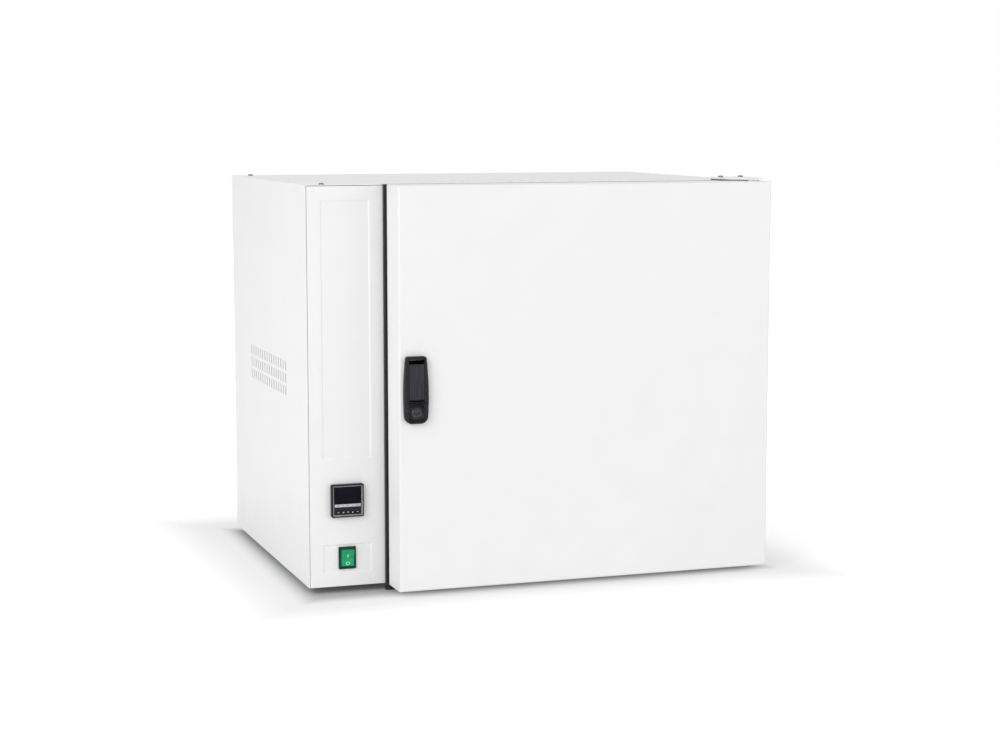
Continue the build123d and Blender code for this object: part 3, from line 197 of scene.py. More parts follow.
def joinPieces(name, pieces):
    # all the meshes' points and faces one after another in one mesh, sharp edges worked out again
    points = []
    faces = []
    for piece in pieces:
        start = sum(len(part) for part in points)
        corner = np.empty(len(piece.data.vertices) * 3)
        piece.data.vertices.foreach_get("co", corner)
        points.append(corner.reshape(-1, 3))
        faces += [[start + v for v in polygon.vertices] for polygon in piece.data.polygons]
        bpy.data.objects.remove(piece)
    mesh = bpy.data.meshes.new(name)
    mesh.from_pydata(np.concatenate(points).tolist(), [], faces)
    joined = bpy.data.objects.new(name, mesh)
    bpy.context.scene.collection.objects.link(joined)
    mesh.polygons.foreach_set("use_smooth", np.ones(len(mesh.polygons), bool))
    mesh.set_sharp_from_angle(angle=math.radians(creaseDeg))
    return joined


def ease(low, high, value):
    # 0 below low, 1 above high, and a smooth climb between
    t = np.clip((value - low) / (high - low), 0, 1)
    return t * t * (3 - 2 * t)


def finishPiece(piece, material, body, slot, *replaced):
    piece.data.materials.clear()
    piece.data.materials.append(material)
    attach(piece, body)
    if replaced:
        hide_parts(*replaced)


def toLinear(hexColour):
    # the sRGB curve undone, channel by channel
    channels = [int(hexColour[k:k + 2], 16) / 255 for k in (1, 3, 5)]
    return tuple(c / 12.92 if c <= 0.04045 else ((c + 0.055) / 1.055) ** 2.4 for c in channels) + (1.0,)


def addNode(tree, kind, settings=None, links=None):
    node = tree.nodes.new(kind)
    for key, value in (settings or {}).items():
        if key in node.inputs:
            node.inputs[key].default_value = value
        else:
            setattr(node, key, value)
    for key, source in (links or {}).items():
        tree.links.new(source, node.inputs[key])
    return node


def startMaterial(name, shaderSettings):
    # a Principled shader joined to the output, and the object's own coordinates in metres
    material = bpy.data.materials.new(name)
    material.use_nodes = True
    tree = material.node_tree
    tree.nodes.clear()
    shader = addNode(tree, "ShaderNodeBsdfPrincipled", shaderSettings)
    addNode(tree, "ShaderNodeOutputMaterial", None, {"Surface": shader.outputs["BSDF"]})
    where = addNode(tree, "ShaderNodeTexCoord").outputs["Object"]
    return material, tree, shader, where


def grain(tree, where, sizeMm, detail=2.0, stretch=(1, 1, 1)):
    # noise whose lumps are about sizeMm across, longer along an axis where stretch is under 1
    placed = addNode(tree, "ShaderNodeMapping", {"Scale": stretch}, {"Vector": where})
    noise = addNode(tree, "ShaderNodeTexNoise", {"Scale": 1 / (sizeMm * mm), "Detail": detail},
                    {"Vector": placed.outputs["Vector"]})
    return noise.outputs["Fac"]


noiseSpan = (0.3, 0.7)  # most of a noise pattern lies between these values


def tintBetween(tree, shader, factor, dark, light):
    # base colour runs from dark to light as the factor crosses the noise's span
    ramp = addNode(tree, "ShaderNodeValToRGB", None, {"Fac": factor})
    for stop, position, colour in zip(ramp.color_ramp.elements, noiseSpan, (dark, light)):
        stop.position = position
        stop.color = toLinear(colour)
    tree.links.new(ramp.outputs["Color"], shader.inputs["Base Color"])


def spread(tree, shader, socket, factor, low, high):
    # a shader value that runs from low to high with the factor
    span = addNode(tree, "ShaderNodeMapRange", {"To Min": low, "To Max": high}, {"Value": factor})
    tree.links.new(span.outputs["Result"], shader.inputs[socket])


def relief(tree, shader, factor, heightMm):
    bump = addNode(tree, "ShaderNodeBump", {"Distance": heightMm * mm, "Strength": 1.0}, {"Height": factor})
    tree.links.new(bump.outputs["Normal"], shader.inputs["Normal"])


# Polyester powder coat on steel: sprayed and baked, so a bright skin with a soft orange peel
powderCoat = {"dark": "#f3f3f3", "light": "#f5f5f5", "roughness": (0.37, 0.41), "gloss": 0.35,
              "mottleMm": 60, "glossMottleMm": 25, "peelMm": 1.4, "peelHeightMm": 0.004}


def whitePowderCoat():
    material, tree, shader, where = startMaterial("powderCoatedSteelWhite",
                                                  {"Specular IOR Level": powderCoat["gloss"]})
    tintBetween(tree, shader, grain(tree, where, powderCoat["mottleMm"], 3), powderCoat["dark"],
                powderCoat["light"])
    gloss = grain(tree, where, powderCoat["glossMottleMm"], 2)
    spread(tree, shader, "Roughness", gloss, *powderCoat["roughness"])
    relief(tree, shader, grain(tree, where, powderCoat["peelMm"], 1), powderCoat["peelHeightMm"])
    return material


# Textured black powder coat: duller, with a coarser grain that hides fingerprints
blackCoat = {"dark": "#1c1c1e", "light": "#29292b", "roughness": (0.45, 0.6),
             "grainMm": 0.6, "grainHeightMm": 0.02}


def blackPowderCoat():
    material, tree, shader, where = startMaterial("powderCoatedSteelBlack", {})
    speck = grain(tree, where, blackCoat["grainMm"], 2)
    tintBetween(tree, shader, speck, blackCoat["dark"], blackCoat["light"])
    spread(tree, shader, "Roughness", speck, *blackCoat["roughness"])
    relief(tree, shader, speck, blackCoat["grainHeightMm"])
    return material


def mouldedPlastic(name, dark, light, roughness, toothMm=0.5, toothHeightMm=0.006, extra=None,
                   mottleMm=6, stretch=(1, 1, 1)):
    # moulded plastic: faint mottling or flow lines a few millimetres across over a fine tooth
    material, tree, shader, where = startMaterial(name, extra or {})
    tintBetween(tree, shader, grain(tree, where, mottleMm, 3, stretch), dark, light)
    tooth = grain(tree, where, toothMm, 1)
    spread(tree, shader, "Roughness", tooth, *roughness)
    relief(tree, shader, tooth, toothHeightMm)
    return material


def brushedMetal(name, dark, light, roughness, grainMm=0.35, lengthwise=(0.03, 1, 1), heightMm=0.004):
    # belt-brushed metal: hair lines along one axis that break the reflection into streaks
    material, tree, shader, where = startMaterial(name, {"Metallic": 1.0})
    lines = grain(tree, where, grainMm, 3, lengthwise)
    tintBetween(tree, shader, lines, dark, light)
    spread(tree, shader, "Roughness", lines, *roughness)
    relief(tree, shader, lines, heightMm)
    return material


wool = {"dark": "#8f7f4e", "light": "#cbbd8c", "roughness": 0.95, "fibreMm": 1.2, "fibreHeightMm": 0.5}


def mineralWool():
    # matted fibres, straw-coloured, with no gloss
    material, tree, shader, where = startMaterial("mineralWool", {"Roughness": wool["roughness"]})
    fibres = grain(tree, where, wool["fibreMm"], 6, (0.4, 1, 1))
    tintBetween(tree, shader, fibres, wool["dark"], wool["light"])
    relief(tree, shader, fibres, wool["fibreHeightMm"])
    return material


finishes = {
    "white_case": whitePowderCoat(),
    "black_frame": blackPowderCoat(),
    # 2B stainless sheet, brushed: warm grey with fine lines across
    "stainless": brushedMetal("brushedStainless", "#aeaba6", "#c8c5bf", (0.22, 0.38)),
    # drawn and electropolished wire: bright, with faint die lines along it
    "wire": brushedMetal("electropolishedWire", "#c8c7c4", "#dcdbd8", (0.12, 0.2), 0.6, (1, 0.05, 1)),
    # zinc-plated steel: bluish grey with soft spangles
    "plain_steel": brushedMetal("zincPlatedSteel", "#9aa0a6", "#c3c8cc", (0.25, 0.42), 2.5, (1, 1, 1), 0.002),
    "wool": mineralWool(),
    # moulded rubber and extruded silicone: dull, faintly chalky in the light
    "rubber": mouldedPlastic("mouldedEpdmRubber", "#19191a", "#252526", (0.7, 0.85), 0.4, 0.03),
    "silicone": mouldedPlastic("extrudedSilicone", "#3c3c3d", "#49494a", (0.42, 0.55), 0.8, 0.01),
    # glass-filled nylon from a spark-textured mould: dark, a slight violet cast and a matte tooth
    "black_plastic": mouldedPlastic("mouldedNylonBlack", "#141317", "#1c1b20", (0.34, 0.46), 0.35, 0.012,
                                    {"Specular IOR Level": 0.22}, 9),
    # acrylonitrile butadiene styrene, moulded: mid grey, satin
    "grey_plastic": mouldedPlastic("mouldedAbsGrey", "#4a4a4e", "#58585c", (0.4, 0.5)),
    # tinted polycarbonate rocker: glossy and a little see-through, so its edges glow
    "green_plastic": mouldedPlastic("tintedPolycarbonateGreen", "#0f9a63", "#17ad72", (0.2, 0.3), 0.8, 0.002,
                                    {"Subsurface Weight": 0.25, "Subsurface Scale": 0.003,
                                     "Specular IOR Level": 0.3}),
    # smoked polycarbonate: near black with a navy depth and a sharp gloss
    "dark_window": mouldedPlastic("smokedPolycarbonate", "#07070f", "#0b0b16", (0.07, 0.12), 2, 0.0006,
                                  {"Specular IOR Level": 0.06}),
    # extruded aluminium: pale, with die lines along the fins
    "aluminium": brushedMetal("extrudedAluminium", "#bfc0c2", "#d8d9da", (0.3, 0.42), 0.4, (1, 1, 0.04)),
    # natural nylon: cream, waxy
    "nylon": mouldedPlastic("mouldedNylonNatural", "#d8d4c6", "#e4e1d5", (0.4, 0.5)),
    # heater sheath that has been red hot: brown-grey oxide in patches
    "heater_sheath": brushedMetal("oxidisedHeaterSheath", "#4d443d", "#7a6d62", (0.45, 0.65), 6, (1, 1, 1),
                                  0.01),
}
# flow lines run down the pull from the gate at its top, a shade lighter than the body
paddleNylon = mouldedPlastic("mouldedNylonFlowLines", "#18171b", "#34333a", (0.3, 0.44), 0.35, 0.01,
                             {"Specular IOR Level": 0.25}, 1.8, (1, 1, 0.05))
# glossier nylon of the quarter-turn lock: picks up small highlights
lockNylon = mouldedPlastic("polishedNylonBlack", "#232227", "#38373d", (0.16, 0.26), 0.4, 0.004,
                           {"Specular IOR Level": 0.36})
# dyed nylon round the rocker: green so deep that it looks black away from the light
switchNylon = mouldedPlastic("mouldedNylonDeepGreen", "#06301f", "#0b4530", (0.28, 0.4), 0.4, 0.006,
                             {"Specular IOR Level": 0.2})
# the controller's sloping inner bevel, lighter grey than its black moulding: a painted highlight where the
# slope catches the light
bevelHighlightGrey = mouldedPlastic("paintedHighlightBevelGrey", "#7b7a7f", "#94939b", (0.34, 0.46))
# zinc under a dark passivation, turned heads: grey with a soft sheen
screwZinc = brushedMetal("passivatedZinc", "#54575a", "#797c7f", (0.3, 0.45), 1.2, (1, 1, 1), 0.002)
# pad-printed inks: thin, even and dull
legendInk = mouldedPlastic("padPrintedWhite", "#d9d9dc", "#e6e6e8", (0.5, 0.6), 0.3, 0.002)
stripInk = mouldedPlastic("padPrintedLavender", "#b9b4c6", "#d2cddb", (0.45, 0.55), 0.3, 0.002)
mintInk = mouldedPlastic("padPrintedMint", "#9fe8c8", "#b6f2d8", (0.4, 0.5), 0.3, 0.002)
# unlit segments behind the smoked window: only a shade above it
segmentInk = mouldedPlastic("unlitSegments", "#12121f", "#191930", (0.15, 0.25), 0.6, 0.0005,
                            {"Specular IOR Level": 0.06})

for entry in frame["record"]["subparts"]:
    mesh = nodes[entry["node"]].data
    mesh.materials.clear()
    mesh.materials.append(finishes[entry["material_slot"]])
ownFinish = {"latch_paddle": paddleNylon, "switch_housing": switchNylon}
for node, material in ownFinish.items():
    nodes[node].data.materials[0] = material
print("finishes on", len(nodes), "nodes")


# metres; the floor's glow is a list of distances beyond the footprint and how bright the floor is there, its
# low levels near the footprint a painted shade
studio = {"floorHalf": 9.0, "floorTint": ("#f7f7f7", "#fbfbfb"), "floorMottleMm": 300, "floorRoughness": 0.9,
          "footprintM": (0.33, 0.25), "reachM": 0.7, "floorShade": 0.5,
          "glow": ((0.0, 0.04), (0.05, 0.46), (0.17, 0.66), (0.4, 1.0)),
          "worldStrength": 0.54, "aim": (0, 0, 0.3)}
softboxes = {
    "keySoftbox": {"power": 56.0, "size": (2.2, 2.2), "place": (-2.85, -2.25, 2.0)},
    "fillSoftbox": {"power": 27.0, "size": (2.4, 1.8), "place": (2.5, -2.9, 1.2)},
    "topSoftbox": {"power": 3.0, "size": (2.6, 2.6), "place": (0.2, 0.3, 3.2)},
}


def seenOrMirrored(tree):
    # 1 where the eye or a mirror looks straight at a surface, and 0 for soft light
    path = addNode(tree, "ShaderNodeLightPath")
    seen = addNode(tree, "ShaderNodeMath", {"operation": "MAXIMUM"})
    tree.links.new(path.outputs["Is Camera Ray"], seen.inputs[0])
    tree.links.new(path.outputs["Is Glossy Ray"], seen.inputs[1])
    return seen.outputs[0]


def mixShaders(tree, share, base, over):
    mix = addNode(tree, "ShaderNodeMixShader", None, {"Fac": share})
    tree.links.new(base.outputs[0], mix.inputs[1])
    tree.links.new(over.outputs[0], mix.inputs[2])
    return mix.outputs[0]


def makeFloor():
    # the floor glows towards white away from the object and only faintly near it, a painted shade round the
    # footprint added to the real shadow that its diffuse part keeps:
    # distance = the larger of |x| and |y| less the footprint's half sides
    half = studio["floorHalf"]
    corners = [(-half, -half, 0), (half, -half, 0), (half, half, 0), (-half, half, 0)]
    floor = meshPiece("paleFloor", corners, [[[0, 1, 2, 3]]])
    material, tree, paper, where = startMaterial("palePaperFloor", {"Roughness": studio["floorRoughness"]})
    tintBetween(tree, paper, grain(tree, where, studio["floorMottleMm"], 2), *studio["floorTint"])
    output = tree.nodes["Material Output"]
    seen = seenOrMirrored(tree)
    positive = addNode(tree, "ShaderNodeVectorMath", {"operation": "ABSOLUTE"})
    tree.links.new(where, positive.inputs[0])
    beyond = addNode(tree, "ShaderNodeVectorMath", {"operation": "SUBTRACT"})
    tree.links.new(positive.outputs[0], beyond.inputs[0])
    beyond.inputs[1].default_value = (*studio["footprintM"], 0)
    axes = addNode(tree, "ShaderNodeSeparateXYZ", None, {"Vector": beyond.outputs[0]})
    away = addNode(tree, "ShaderNodeMath", {"operation": "MAXIMUM"})
    tree.links.new(axes.outputs["X"], away.inputs[0])
    tree.links.new(axes.outputs["Y"], away.inputs[1])
    share = addNode(tree, "ShaderNodeMapRange", {"From Max": studio["reachM"]}, {"Value": away.outputs[0]})
    # glow from near dark at the footprint to white further out: painted shade round the object
    glow = addNode(tree, "ShaderNodeValToRGB", None, {"Fac": share.outputs["Result"]})
    ramp = glow.color_ramp
    ramp.interpolation = "EASE"
    for reach, _ in studio["glow"][1:-1]:
        ramp.elements.new(reach / studio["reachM"])
    for stop, (reach, level) in zip(ramp.elements, studio["glow"]):
        stop.position = reach / studio["reachM"]
        stop.color = (level, level, level, 1)
    light = addNode(tree, "ShaderNodeEmission", {"Strength": 1.0}, {"Color": glow.outputs["Color"]})
    shade = studio["floorShade"]
    shaded = addNode(tree, "ShaderNodeBsdfDiffuse", {"Color": (shade, shade, shade, 1)})
    both = addNode(tree, "ShaderNodeAddShader")
    tree.links.new(light.outputs[0], both.inputs[0])
    tree.links.new(shaded.outputs[0], both.inputs[1])
    tree.links.new(mixShaders(tree, seen, paper, both), output.inputs["Surface"])
    floor.data.materials.append(material)


def makeWorld():
    # white where it is seen, and dimmer where it only lights
    world = bpy.data.worlds.new("paleStudio")
    bpy.context.scene.world = world
    world.use_nodes = True
    tree = world.node_tree
    tree.nodes.clear()
    seen = seenOrMirrored(tree)
    white = (1, 1, 1, 1)
    light = addNode(tree, "ShaderNodeBackground", {"Color": white, "Strength": studio["worldStrength"]})
    backdrop = addNode(tree, "ShaderNodeBackground", {"Color": white, "Strength": 1.0})
    addNode(tree, "ShaderNodeOutputWorld", None, {"Surface": mixShaders(tree, seen, light, backdrop)})


def softLight(name, power, size, place):
    # a rectangular lamp that faces the aim point
    lamp = bpy.data.lights.new(name, "AREA")
    lamp.shape = "RECTANGLE"
    lamp.size, lamp.size_y = size
    lamp.energy = power
    holder = bpy.data.objects.new(name, lamp)
    holder.location = place
    towards = Vector(studio["aim"]) - Vector(place)
    holder.rotation_euler = towards.to_track_quat("-Z", "Y").to_euler()
    bpy.context.scene.collection.objects.link(holder)


cameraPlace = {"fromCornerM": (-0.7001, -2.8776, 0.6768), "yawDeg": 19.002, "pitchDeg": 7.086,
               "lensMm": 75.11, "sensorMm": 36.0}


def makeCamera():
    # the eye stands off from the case's lower left front corner; yaw turns it to the right, pitch down
    corner = Vector(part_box("left_side_panel")[0])
    data = bpy.data.cameras.new("camera")
    data.lens = cameraPlace["lensMm"]
    data.sensor_width = cameraPlace["sensorMm"]
    camera = bpy.data.objects.new("camera", data)
    camera.location = corner + Vector(cameraPlace["fromCornerM"])
    camera.rotation_euler = (math.radians(90 - cameraPlace["pitchDeg"]), 0,
                             -math.radians(cameraPlace["yawDeg"]))
    bpy.context.scene.collection.objects.link(camera)
    bpy.context.scene.camera = camera


makeFloor()
makeWorld()
for name, box in softboxes.items():
    softLight(name, **box)
makeCamera()
bpy.context.scene.view_settings.view_transform = "Standard"
print("studio ready")


# all sizes below are millimetres
latch = {"halfHeight": 48.0, "topHalf": 14.75, "wideHalf": 18.0, "bottomHalf": 16.5, "topRadius": 3.5,
         "bottomRadius": 11.0, "proud": 9.0, "edgeRadius": 2.8, "wellHalf": 11.4, "wellLow": -16.1,
         "wellHigh": 43.6, "wellRim": 2.8, "wellSink": 0.35, "lockDrop": 32.7, "lockHole": 8.1,
         "ribStart": 9.6, "ribPitch": 3.3, "ribHeight": 1.6, "fieldHalf": 11.6, "fieldSink": 1.9,
         "fieldSlope": 0.8, "rowStep": 0.45, "insets": (0, 0.1, 0.35, 0.8, 1.4, 2.1),
         "tubHalf": 13.5, "tubLow": -42.0, "tubHigh": 42.0, "tubDepth": 20.0, "tubWall": 2.0,
         "lockBoxHalf": 8.4, "lockBoxLow": -41.2, "lockBoxHigh": -24.2,
         "hookHalf": 7.5, "hookLow": -10.6, "hookHigh": 9.2}


def sheetAt(cx, cz, xs, zs, y):
    # flat grid facing along y: point (i, j) = (cx + xs[j], y, cz + zs[i])
    x, z = np.meshgrid(xs, zs)
    return np.stack([cx + x * mm, np.full_like(x, y, dtype=float), cz + z * mm], axis=-1)


def latchHalfWidth(t):
    # the bowed side is the circle through its top, middle and bottom points; the corners are quarter circles
    x = np.array([latch["topHalf"], latch["wideHalf"], latch["bottomHalf"]])
    z = np.array([latch["halfHeight"], 0.0, -latch["halfHeight"]])
    matrix = np.stack([2 * x, 2 * z, np.ones(3)], axis=1)
    cx, cz, k = np.linalg.solve(matrix, x * x + z * z)
    radius = math.sqrt(k + cx * cx + cz * cz)

    def bowed(height):
        return cx + np.sqrt(radius * radius - (height - cz) ** 2)

    half = bowed(t)
    for sign, corner in ((1, latch["topRadius"]), (-1, latch["bottomRadius"])):
        start = sign * (latch["halfHeight"] - corner)
        inside = bowed(start) - corner
        reach = np.clip(sign * (t - start), 0, corner)
        half = np.where(reach > 0, inside + np.sqrt(corner * corner - reach * reach), half)
    return half


def latchGrid():
    # rows at heights t, crowded at the rims, and columns from the left edge to the right one;
    # points close to the lock's hole are pulled onto its circle
    top = latch["halfHeight"]
    low, high, step = latch["wellLow"], latch["wellHigh"], latch["rowStep"]
    t = np.unique(np.concatenate([-top + np.array([0, 0.08, 0.3, 0.7, 1.2]), np.arange(-top + 1.6, low, step),
                                  low - np.array([0.0, 0.35]), np.arange(low, high, 3.0), [high, high + 0.35],
                                  np.arange(high + 0.7, top - 0.5, step),
                                  top - np.array([0.4, 0.15, 0.05, 0])]).round(4))
    half = latchHalfWidth(t)
    well = np.minimum(latch["wellHalf"], half - latch["wellRim"])
    side = np.concatenate([half[:, None] - np.array(latch["insets"]), (well + 0.4)[:, None]], axis=1)
    x = np.concatenate([side, np.linspace(1, -1, 53) * well[:, None], -side[:, ::-1]], axis=1)
    z = np.broadcast_to(t[:, None], x.shape).copy()
    fromLock = np.hypot(x, z + latch["lockDrop"])
    snap = np.abs(fromLock - latch["lockHole"]) < 0.3
    scale = np.where(snap, latch["lockHole"] / np.maximum(fromLock, 1e-9), 1)
    return x * scale, -latch["lockDrop"] + (z + latch["lockDrop"]) * scale, half


def latchHeight(x, z, half):
    # height = proud - rolled edge - sunk field + cosine ribs in rings about the lock - the well's sink,
    # where the edge rolls over a quarter circle of the distance to the outline
    top, corner, roll = latch["halfHeight"], latch["bottomRadius"], latch["edgeRadius"]
    cornerX = latchHalfWidth(np.array([-top + corner]))[0] - corner
    inCorner = (np.abs(x) > cornerX) & (z < -top + corner)
    edge = np.minimum(half[:, None] - np.abs(x), top - np.abs(z))
    edge = np.where(inCorner, corner - np.hypot(np.abs(x) - cornerX, z + top - corner), edge)
    drop = roll - np.sqrt(np.maximum(roll ** 2 - np.clip(roll - edge, 0, roll) ** 2, 0))
    slope = latch["fieldSlope"]
    field = 1 - ease(latch["fieldHalf"], latch["fieldHalf"] + slope, np.abs(x))
    field *= 1 - ease(latch["wellLow"] - 1.4, latch["wellLow"] - 0.8, z)
    field *= ease(-top + 2.6, -top + 3.6, z)
    r = np.hypot(x, z + latch["lockDrop"])
    ribs = np.where(r > latch["ribStart"],
                    0.5 - 0.5 * np.cos((r - latch["ribStart"]) * 2 * np.pi / latch["ribPitch"]), 0)
    height = latch["proud"] - drop - field * (latch["fieldSink"] - latch["ribHeight"] * ribs)
    inRows = (z > latch["wellLow"] - 0.1) & (z < latch["wellHigh"] + 0.1)
    return height - np.where(inRows & (np.abs(x) < latch["wellHalf"] + 0.1), latch["wellSink"], 0)


def cellMiddles(grid):
    return (grid[1:, 1:] + grid[1:, :-1] + grid[:-1, 1:] + grid[:-1, :-1]) / 4


def makeLatchBody():
    # a relief with a well and a lock hole cut out, over a tub whose floor has a window for the hook
    cx = middle("latch_body")[0]
    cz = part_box("latch_body")[0][2] + latch["halfHeight"] * mm
    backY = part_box("door_shell")[0][1]
    x, z, half = latchGrid()
    height = latchHeight(x, z, half)
    front = np.stack([cx + x * mm, backY - height * mm, cz + z * mm], axis=-1)
    back = np.stack([cx + x * mm, np.full_like(x, backY), cz + z * mm], axis=-1)
    midX, midZ = cellMiddles(x), cellMiddles(z)
    inWell = (np.abs(midX) < latch["wellHalf"]) & (midZ > latch["wellLow"]) & (midZ < latch["wellHigh"])
    inLock = np.hypot(midX, midZ + latch["lockDrop"]) < latch["lockHole"]
    cover = thickSheet("latchCover", front, back, ~(inWell | inLock))
    floorY = backY + (latch["tubDepth"] - latch["tubWall"]) * mm
    widths = [latch["lockBoxHalf"], latch["wellHalf"], latch["tubHalf"]]
    xs = np.array([-width for width in widths[::-1]] + widths)
    zs = np.array([latch[key] for key in ("tubLow", "lockBoxLow", "lockBoxHigh", "wellLow", "tubHigh")])
    openCells = np.zeros((4, 5), bool)
    openCells[1, 2] = True
    openCells[3, 1:4] = True
    tub = thickSheet("latchTub", sheetAt(cx, cz, xs, zs, backY), sheetAt(cx, cz, xs, zs, floorY), ~openCells)
    xs = np.array([-latch["tubHalf"], -latch["hookHalf"], latch["hookHalf"], latch["tubHalf"]])
    zs = np.array([latch["tubLow"], latch["hookLow"], latch["hookHigh"], latch["tubHigh"]])
    openCells = np.zeros((3, 3), bool)
    openCells[1, 1] = True
    floor = thickSheet("latchTubFloor", sheetAt(cx, cz, xs, zs, floorY),
                       sheetAt(cx, cz, xs, zs, floorY + latch["tubWall"] * mm), ~openCells)
    finishPiece(joinPieces("latchMoulding", [cover, tub, floor]), finishes["black_plastic"], "door",
                "black_plastic", "latch_body")


lock = {"radius": 7.9, "rim": 0.7, "rimWidth": 0.9, "groove": 6.3, "grooveDepth": 0.45, "grooveWidth": 0.4,
        "dish": (4.6, 5.8), "dishDepth": 0.5, "slotHalf": (4.6, 1.0), "slotDepth": 1.6}


def lockFace(a, b):
    # height = -(rolled rim + bell-shaped ring groove + shallow dish + straight slot), by the radius r
    r = np.hypot(a, b)
    long, wide = lock["slotHalf"]
    h = -lock["rim"] * ease(lock["radius"] - lock["rimWidth"], lock["radius"], r)
    h -= lock["grooveDepth"] * np.exp(-((r - lock["groove"]) / lock["grooveWidth"]) ** 2)
    h -= lock["dishDepth"] * (1 - ease(*lock["dish"], r))
    slot = (1 - ease(-0.25, 0.25, np.abs(a) - long)) * (1 - ease(-0.25, 0.25, np.abs(b) - wide))
    return h - lock["slotDepth"] * slot


def makeLock():
    # a disc in the latch's lower hole, its relief facing out
    low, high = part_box("lock_cylinder")
    centre = ((low[0] + high[0]) / 2, low[1], (low[2] + high[2]) / 2)
    piece = reliefDisc("quarterTurnLock", centre, (0, -1, 0), (1, 0, 0), lock["radius"],
                       (high[1] - low[1]) / mm, lockFace, 40, 72)
    finishPiece(piece, lockNylon, "lock", "black_plastic", "lock_cylinder")


controller = {"face": 48.0, "corner": 2.2, "rim": 1.9, "rimCorner": 1.1, "floorSink": 1.5, "floorLess": 7.2,
              "keySize": (5.4, 4.2), "keyRise": 0.75, "strip": (38.5, 4.0), "stripGap": 0.9,
              "stripInk": 0.25, "tickWidths": (3.4, 2.2, 3.0, 2.6, 3.4), "tickPitch": 7.0, "tickHalf": 0.3,
              "barThick": 0.9, "digits": 4}
# height over the window's middle, a digit's width and height, their pitch and shift to the right
digitRows = ((6.2, 5.6, 9.4, 7.6, 0), (-6.2, 3.6, 6.0, 5.2, 1.5))


def makeBezel():
    # rounded squares, one inside the next: side wall, rolled edge, flat rim, then the black floor
    low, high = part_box("controller_bezel")
    cx, cz = (low[0] + high[0]) / 2, (low[2] + high[2]) / 2
    front, back = low[1], high[1]
    face = controller["face"]
    corner, inward = controller["corner"], 2 * controller["rim"]
    floor = front + controller["floorSink"] * mm
    steps = [(0, corner, back), (0, corner, front + 1.0 * mm), (0.25, 2.1, front + 0.45 * mm),
             (0.7, 1.9, front + 0.12 * mm), (1.3, 1.6, front), (inward, 1.2, front),
             (inward + 0.3, controller["rimCorner"], front + 0.15 * mm),
             (controller["floorLess"], 0.6, floor)]
    rings = [roundedRing((cx, cz), face - less, face - less, radius, y) for less, radius, y in steps]
    bezel = ringStack("controllerBezel", rings)
    finishPiece(bezel, finishes["black_plastic"], "cabinet", "black_plastic", "controller_bezel")
    inner = face - inward
    steps = [(0.2, controller["rimCorner"], front + 0.05 * mm), (3.6, 0.6, floor - 0.3 * mm),
             (3.6, 0.6, floor), (0.2, controller["rimCorner"], front + 0.6 * mm)]
    band = [roundedRing((cx, cz), inner - less, inner - less, radius, y) for less, radius, y in steps]
    # the band down the bezel's inner slope is lighter grey: a painted highlight on the black moulding
    finishPiece(loopStack("controllerBevel", band), bevelHighlightGrey, "cabinet", "black_plastic")
    return cx, front


def rectangle(w, h):
    return [(-w, -h), (w, -h), (w, h), (-w, h)]


def flatShape(name, outline, origin, right, up, thickness):
    # outline points (a, b) in millimetres: point = origin + a * right + b * up, with a wall of the thickness
    outline = np.asarray(outline, float)
    right = np.asarray(right, float)
    up = np.asarray(up, float)
    inward = np.cross(up, right)
    base = np.asarray(origin, float) + (outline[:, :1] * right + outline[:, 1:] * up) * mm
    return ringStack(name, [base, base + inward * thickness * mm])


def segmentBars(width, height, thick):
    # outlines of a seven-segment digit's bars, pointed at both ends: a on top, b and c down the right
    # side, d below, e and f up the left side, and g in the middle
    w, h, k = width / 2, height / 2, thick
    gap = 0.12
    across = [(-w + k + gap, 0), (-w + k / 2 + gap, k / 2), (w - k / 2 - gap, k / 2), (w - k - gap, 0),
              (w - k / 2 - gap, -k / 2), (-w + k / 2 + gap, -k / 2)]
    down = [(0, h - gap), (k / 2, h - k / 2 - gap), (k / 2, k / 2 + gap), (0, gap), (-k / 2, k / 2 + gap),
            (-k / 2, h - k / 2 - gap)]
    bars = []
    for name in "abcdefg":
        if name in "agd":
            lift = {"a": h - k / 2, "g": 0, "d": -h + k / 2}[name]
            bars.append([(a * 0.92, b + lift) for a, b in across])
        else:
            side = w - k / 2 if name in "bc" else -w + k / 2
            sink = 0 if name in "bf" else -h
            bars.append([(a + side, b + sink) for a, b in down])
    return bars


def makeControllerFace(cx, front):
    # two rows of unlit digits behind the window, and a printed strip with dark ticks under it
    low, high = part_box("controller_window")
    right, up = (1, 0, 0), (0, 0, 1)
    face, middleZ = low[1] - 0.02 * mm, (low[2] + high[2]) / 2
    digits = controller["digits"]
    bars = []
    for lift, width, height, pitch, shift in digitRows:
        for k in range(digits):
            x = cx + ((k - (digits - 1) / 2) * pitch + shift) * mm
            for bar in segmentBars(width, height, controller["barThick"]):
                bars.append(flatShape("bar", bar, (x, face, middleZ + lift * mm), right, up, 0.03))
    finishPiece(joinPieces("displaySegments", bars), segmentInk, "cabinet", "dark_window")
    width, height = controller["strip"]
    floor = front + controller["floorSink"] * mm
    ink = controller["stripInk"]
    z = low[2] - (height / 2 + controller["stripGap"]) * mm
    outline = rectangle(width / 2, height / 2)
    strip = flatShape("modeStrip", outline, (cx, floor - ink * mm, z), right, up, ink)
    finishPiece(strip, stripInk, "cabinet", "black_plastic")
    ticks = []
    for k, wide in enumerate(controller["tickWidths"]):
        x = cx + (k - 2) * controller["tickPitch"] * mm
        outline = rectangle(wide / 2, controller["tickHalf"])
        ticks.append(flatShape("tick", outline, (x, floor - (ink + 0.05) * mm, z), right, up, 0.04))
    finishPiece(joinPieces("modeMarks", ticks), finishes["dark_window"], "cabinet", "black_plastic")


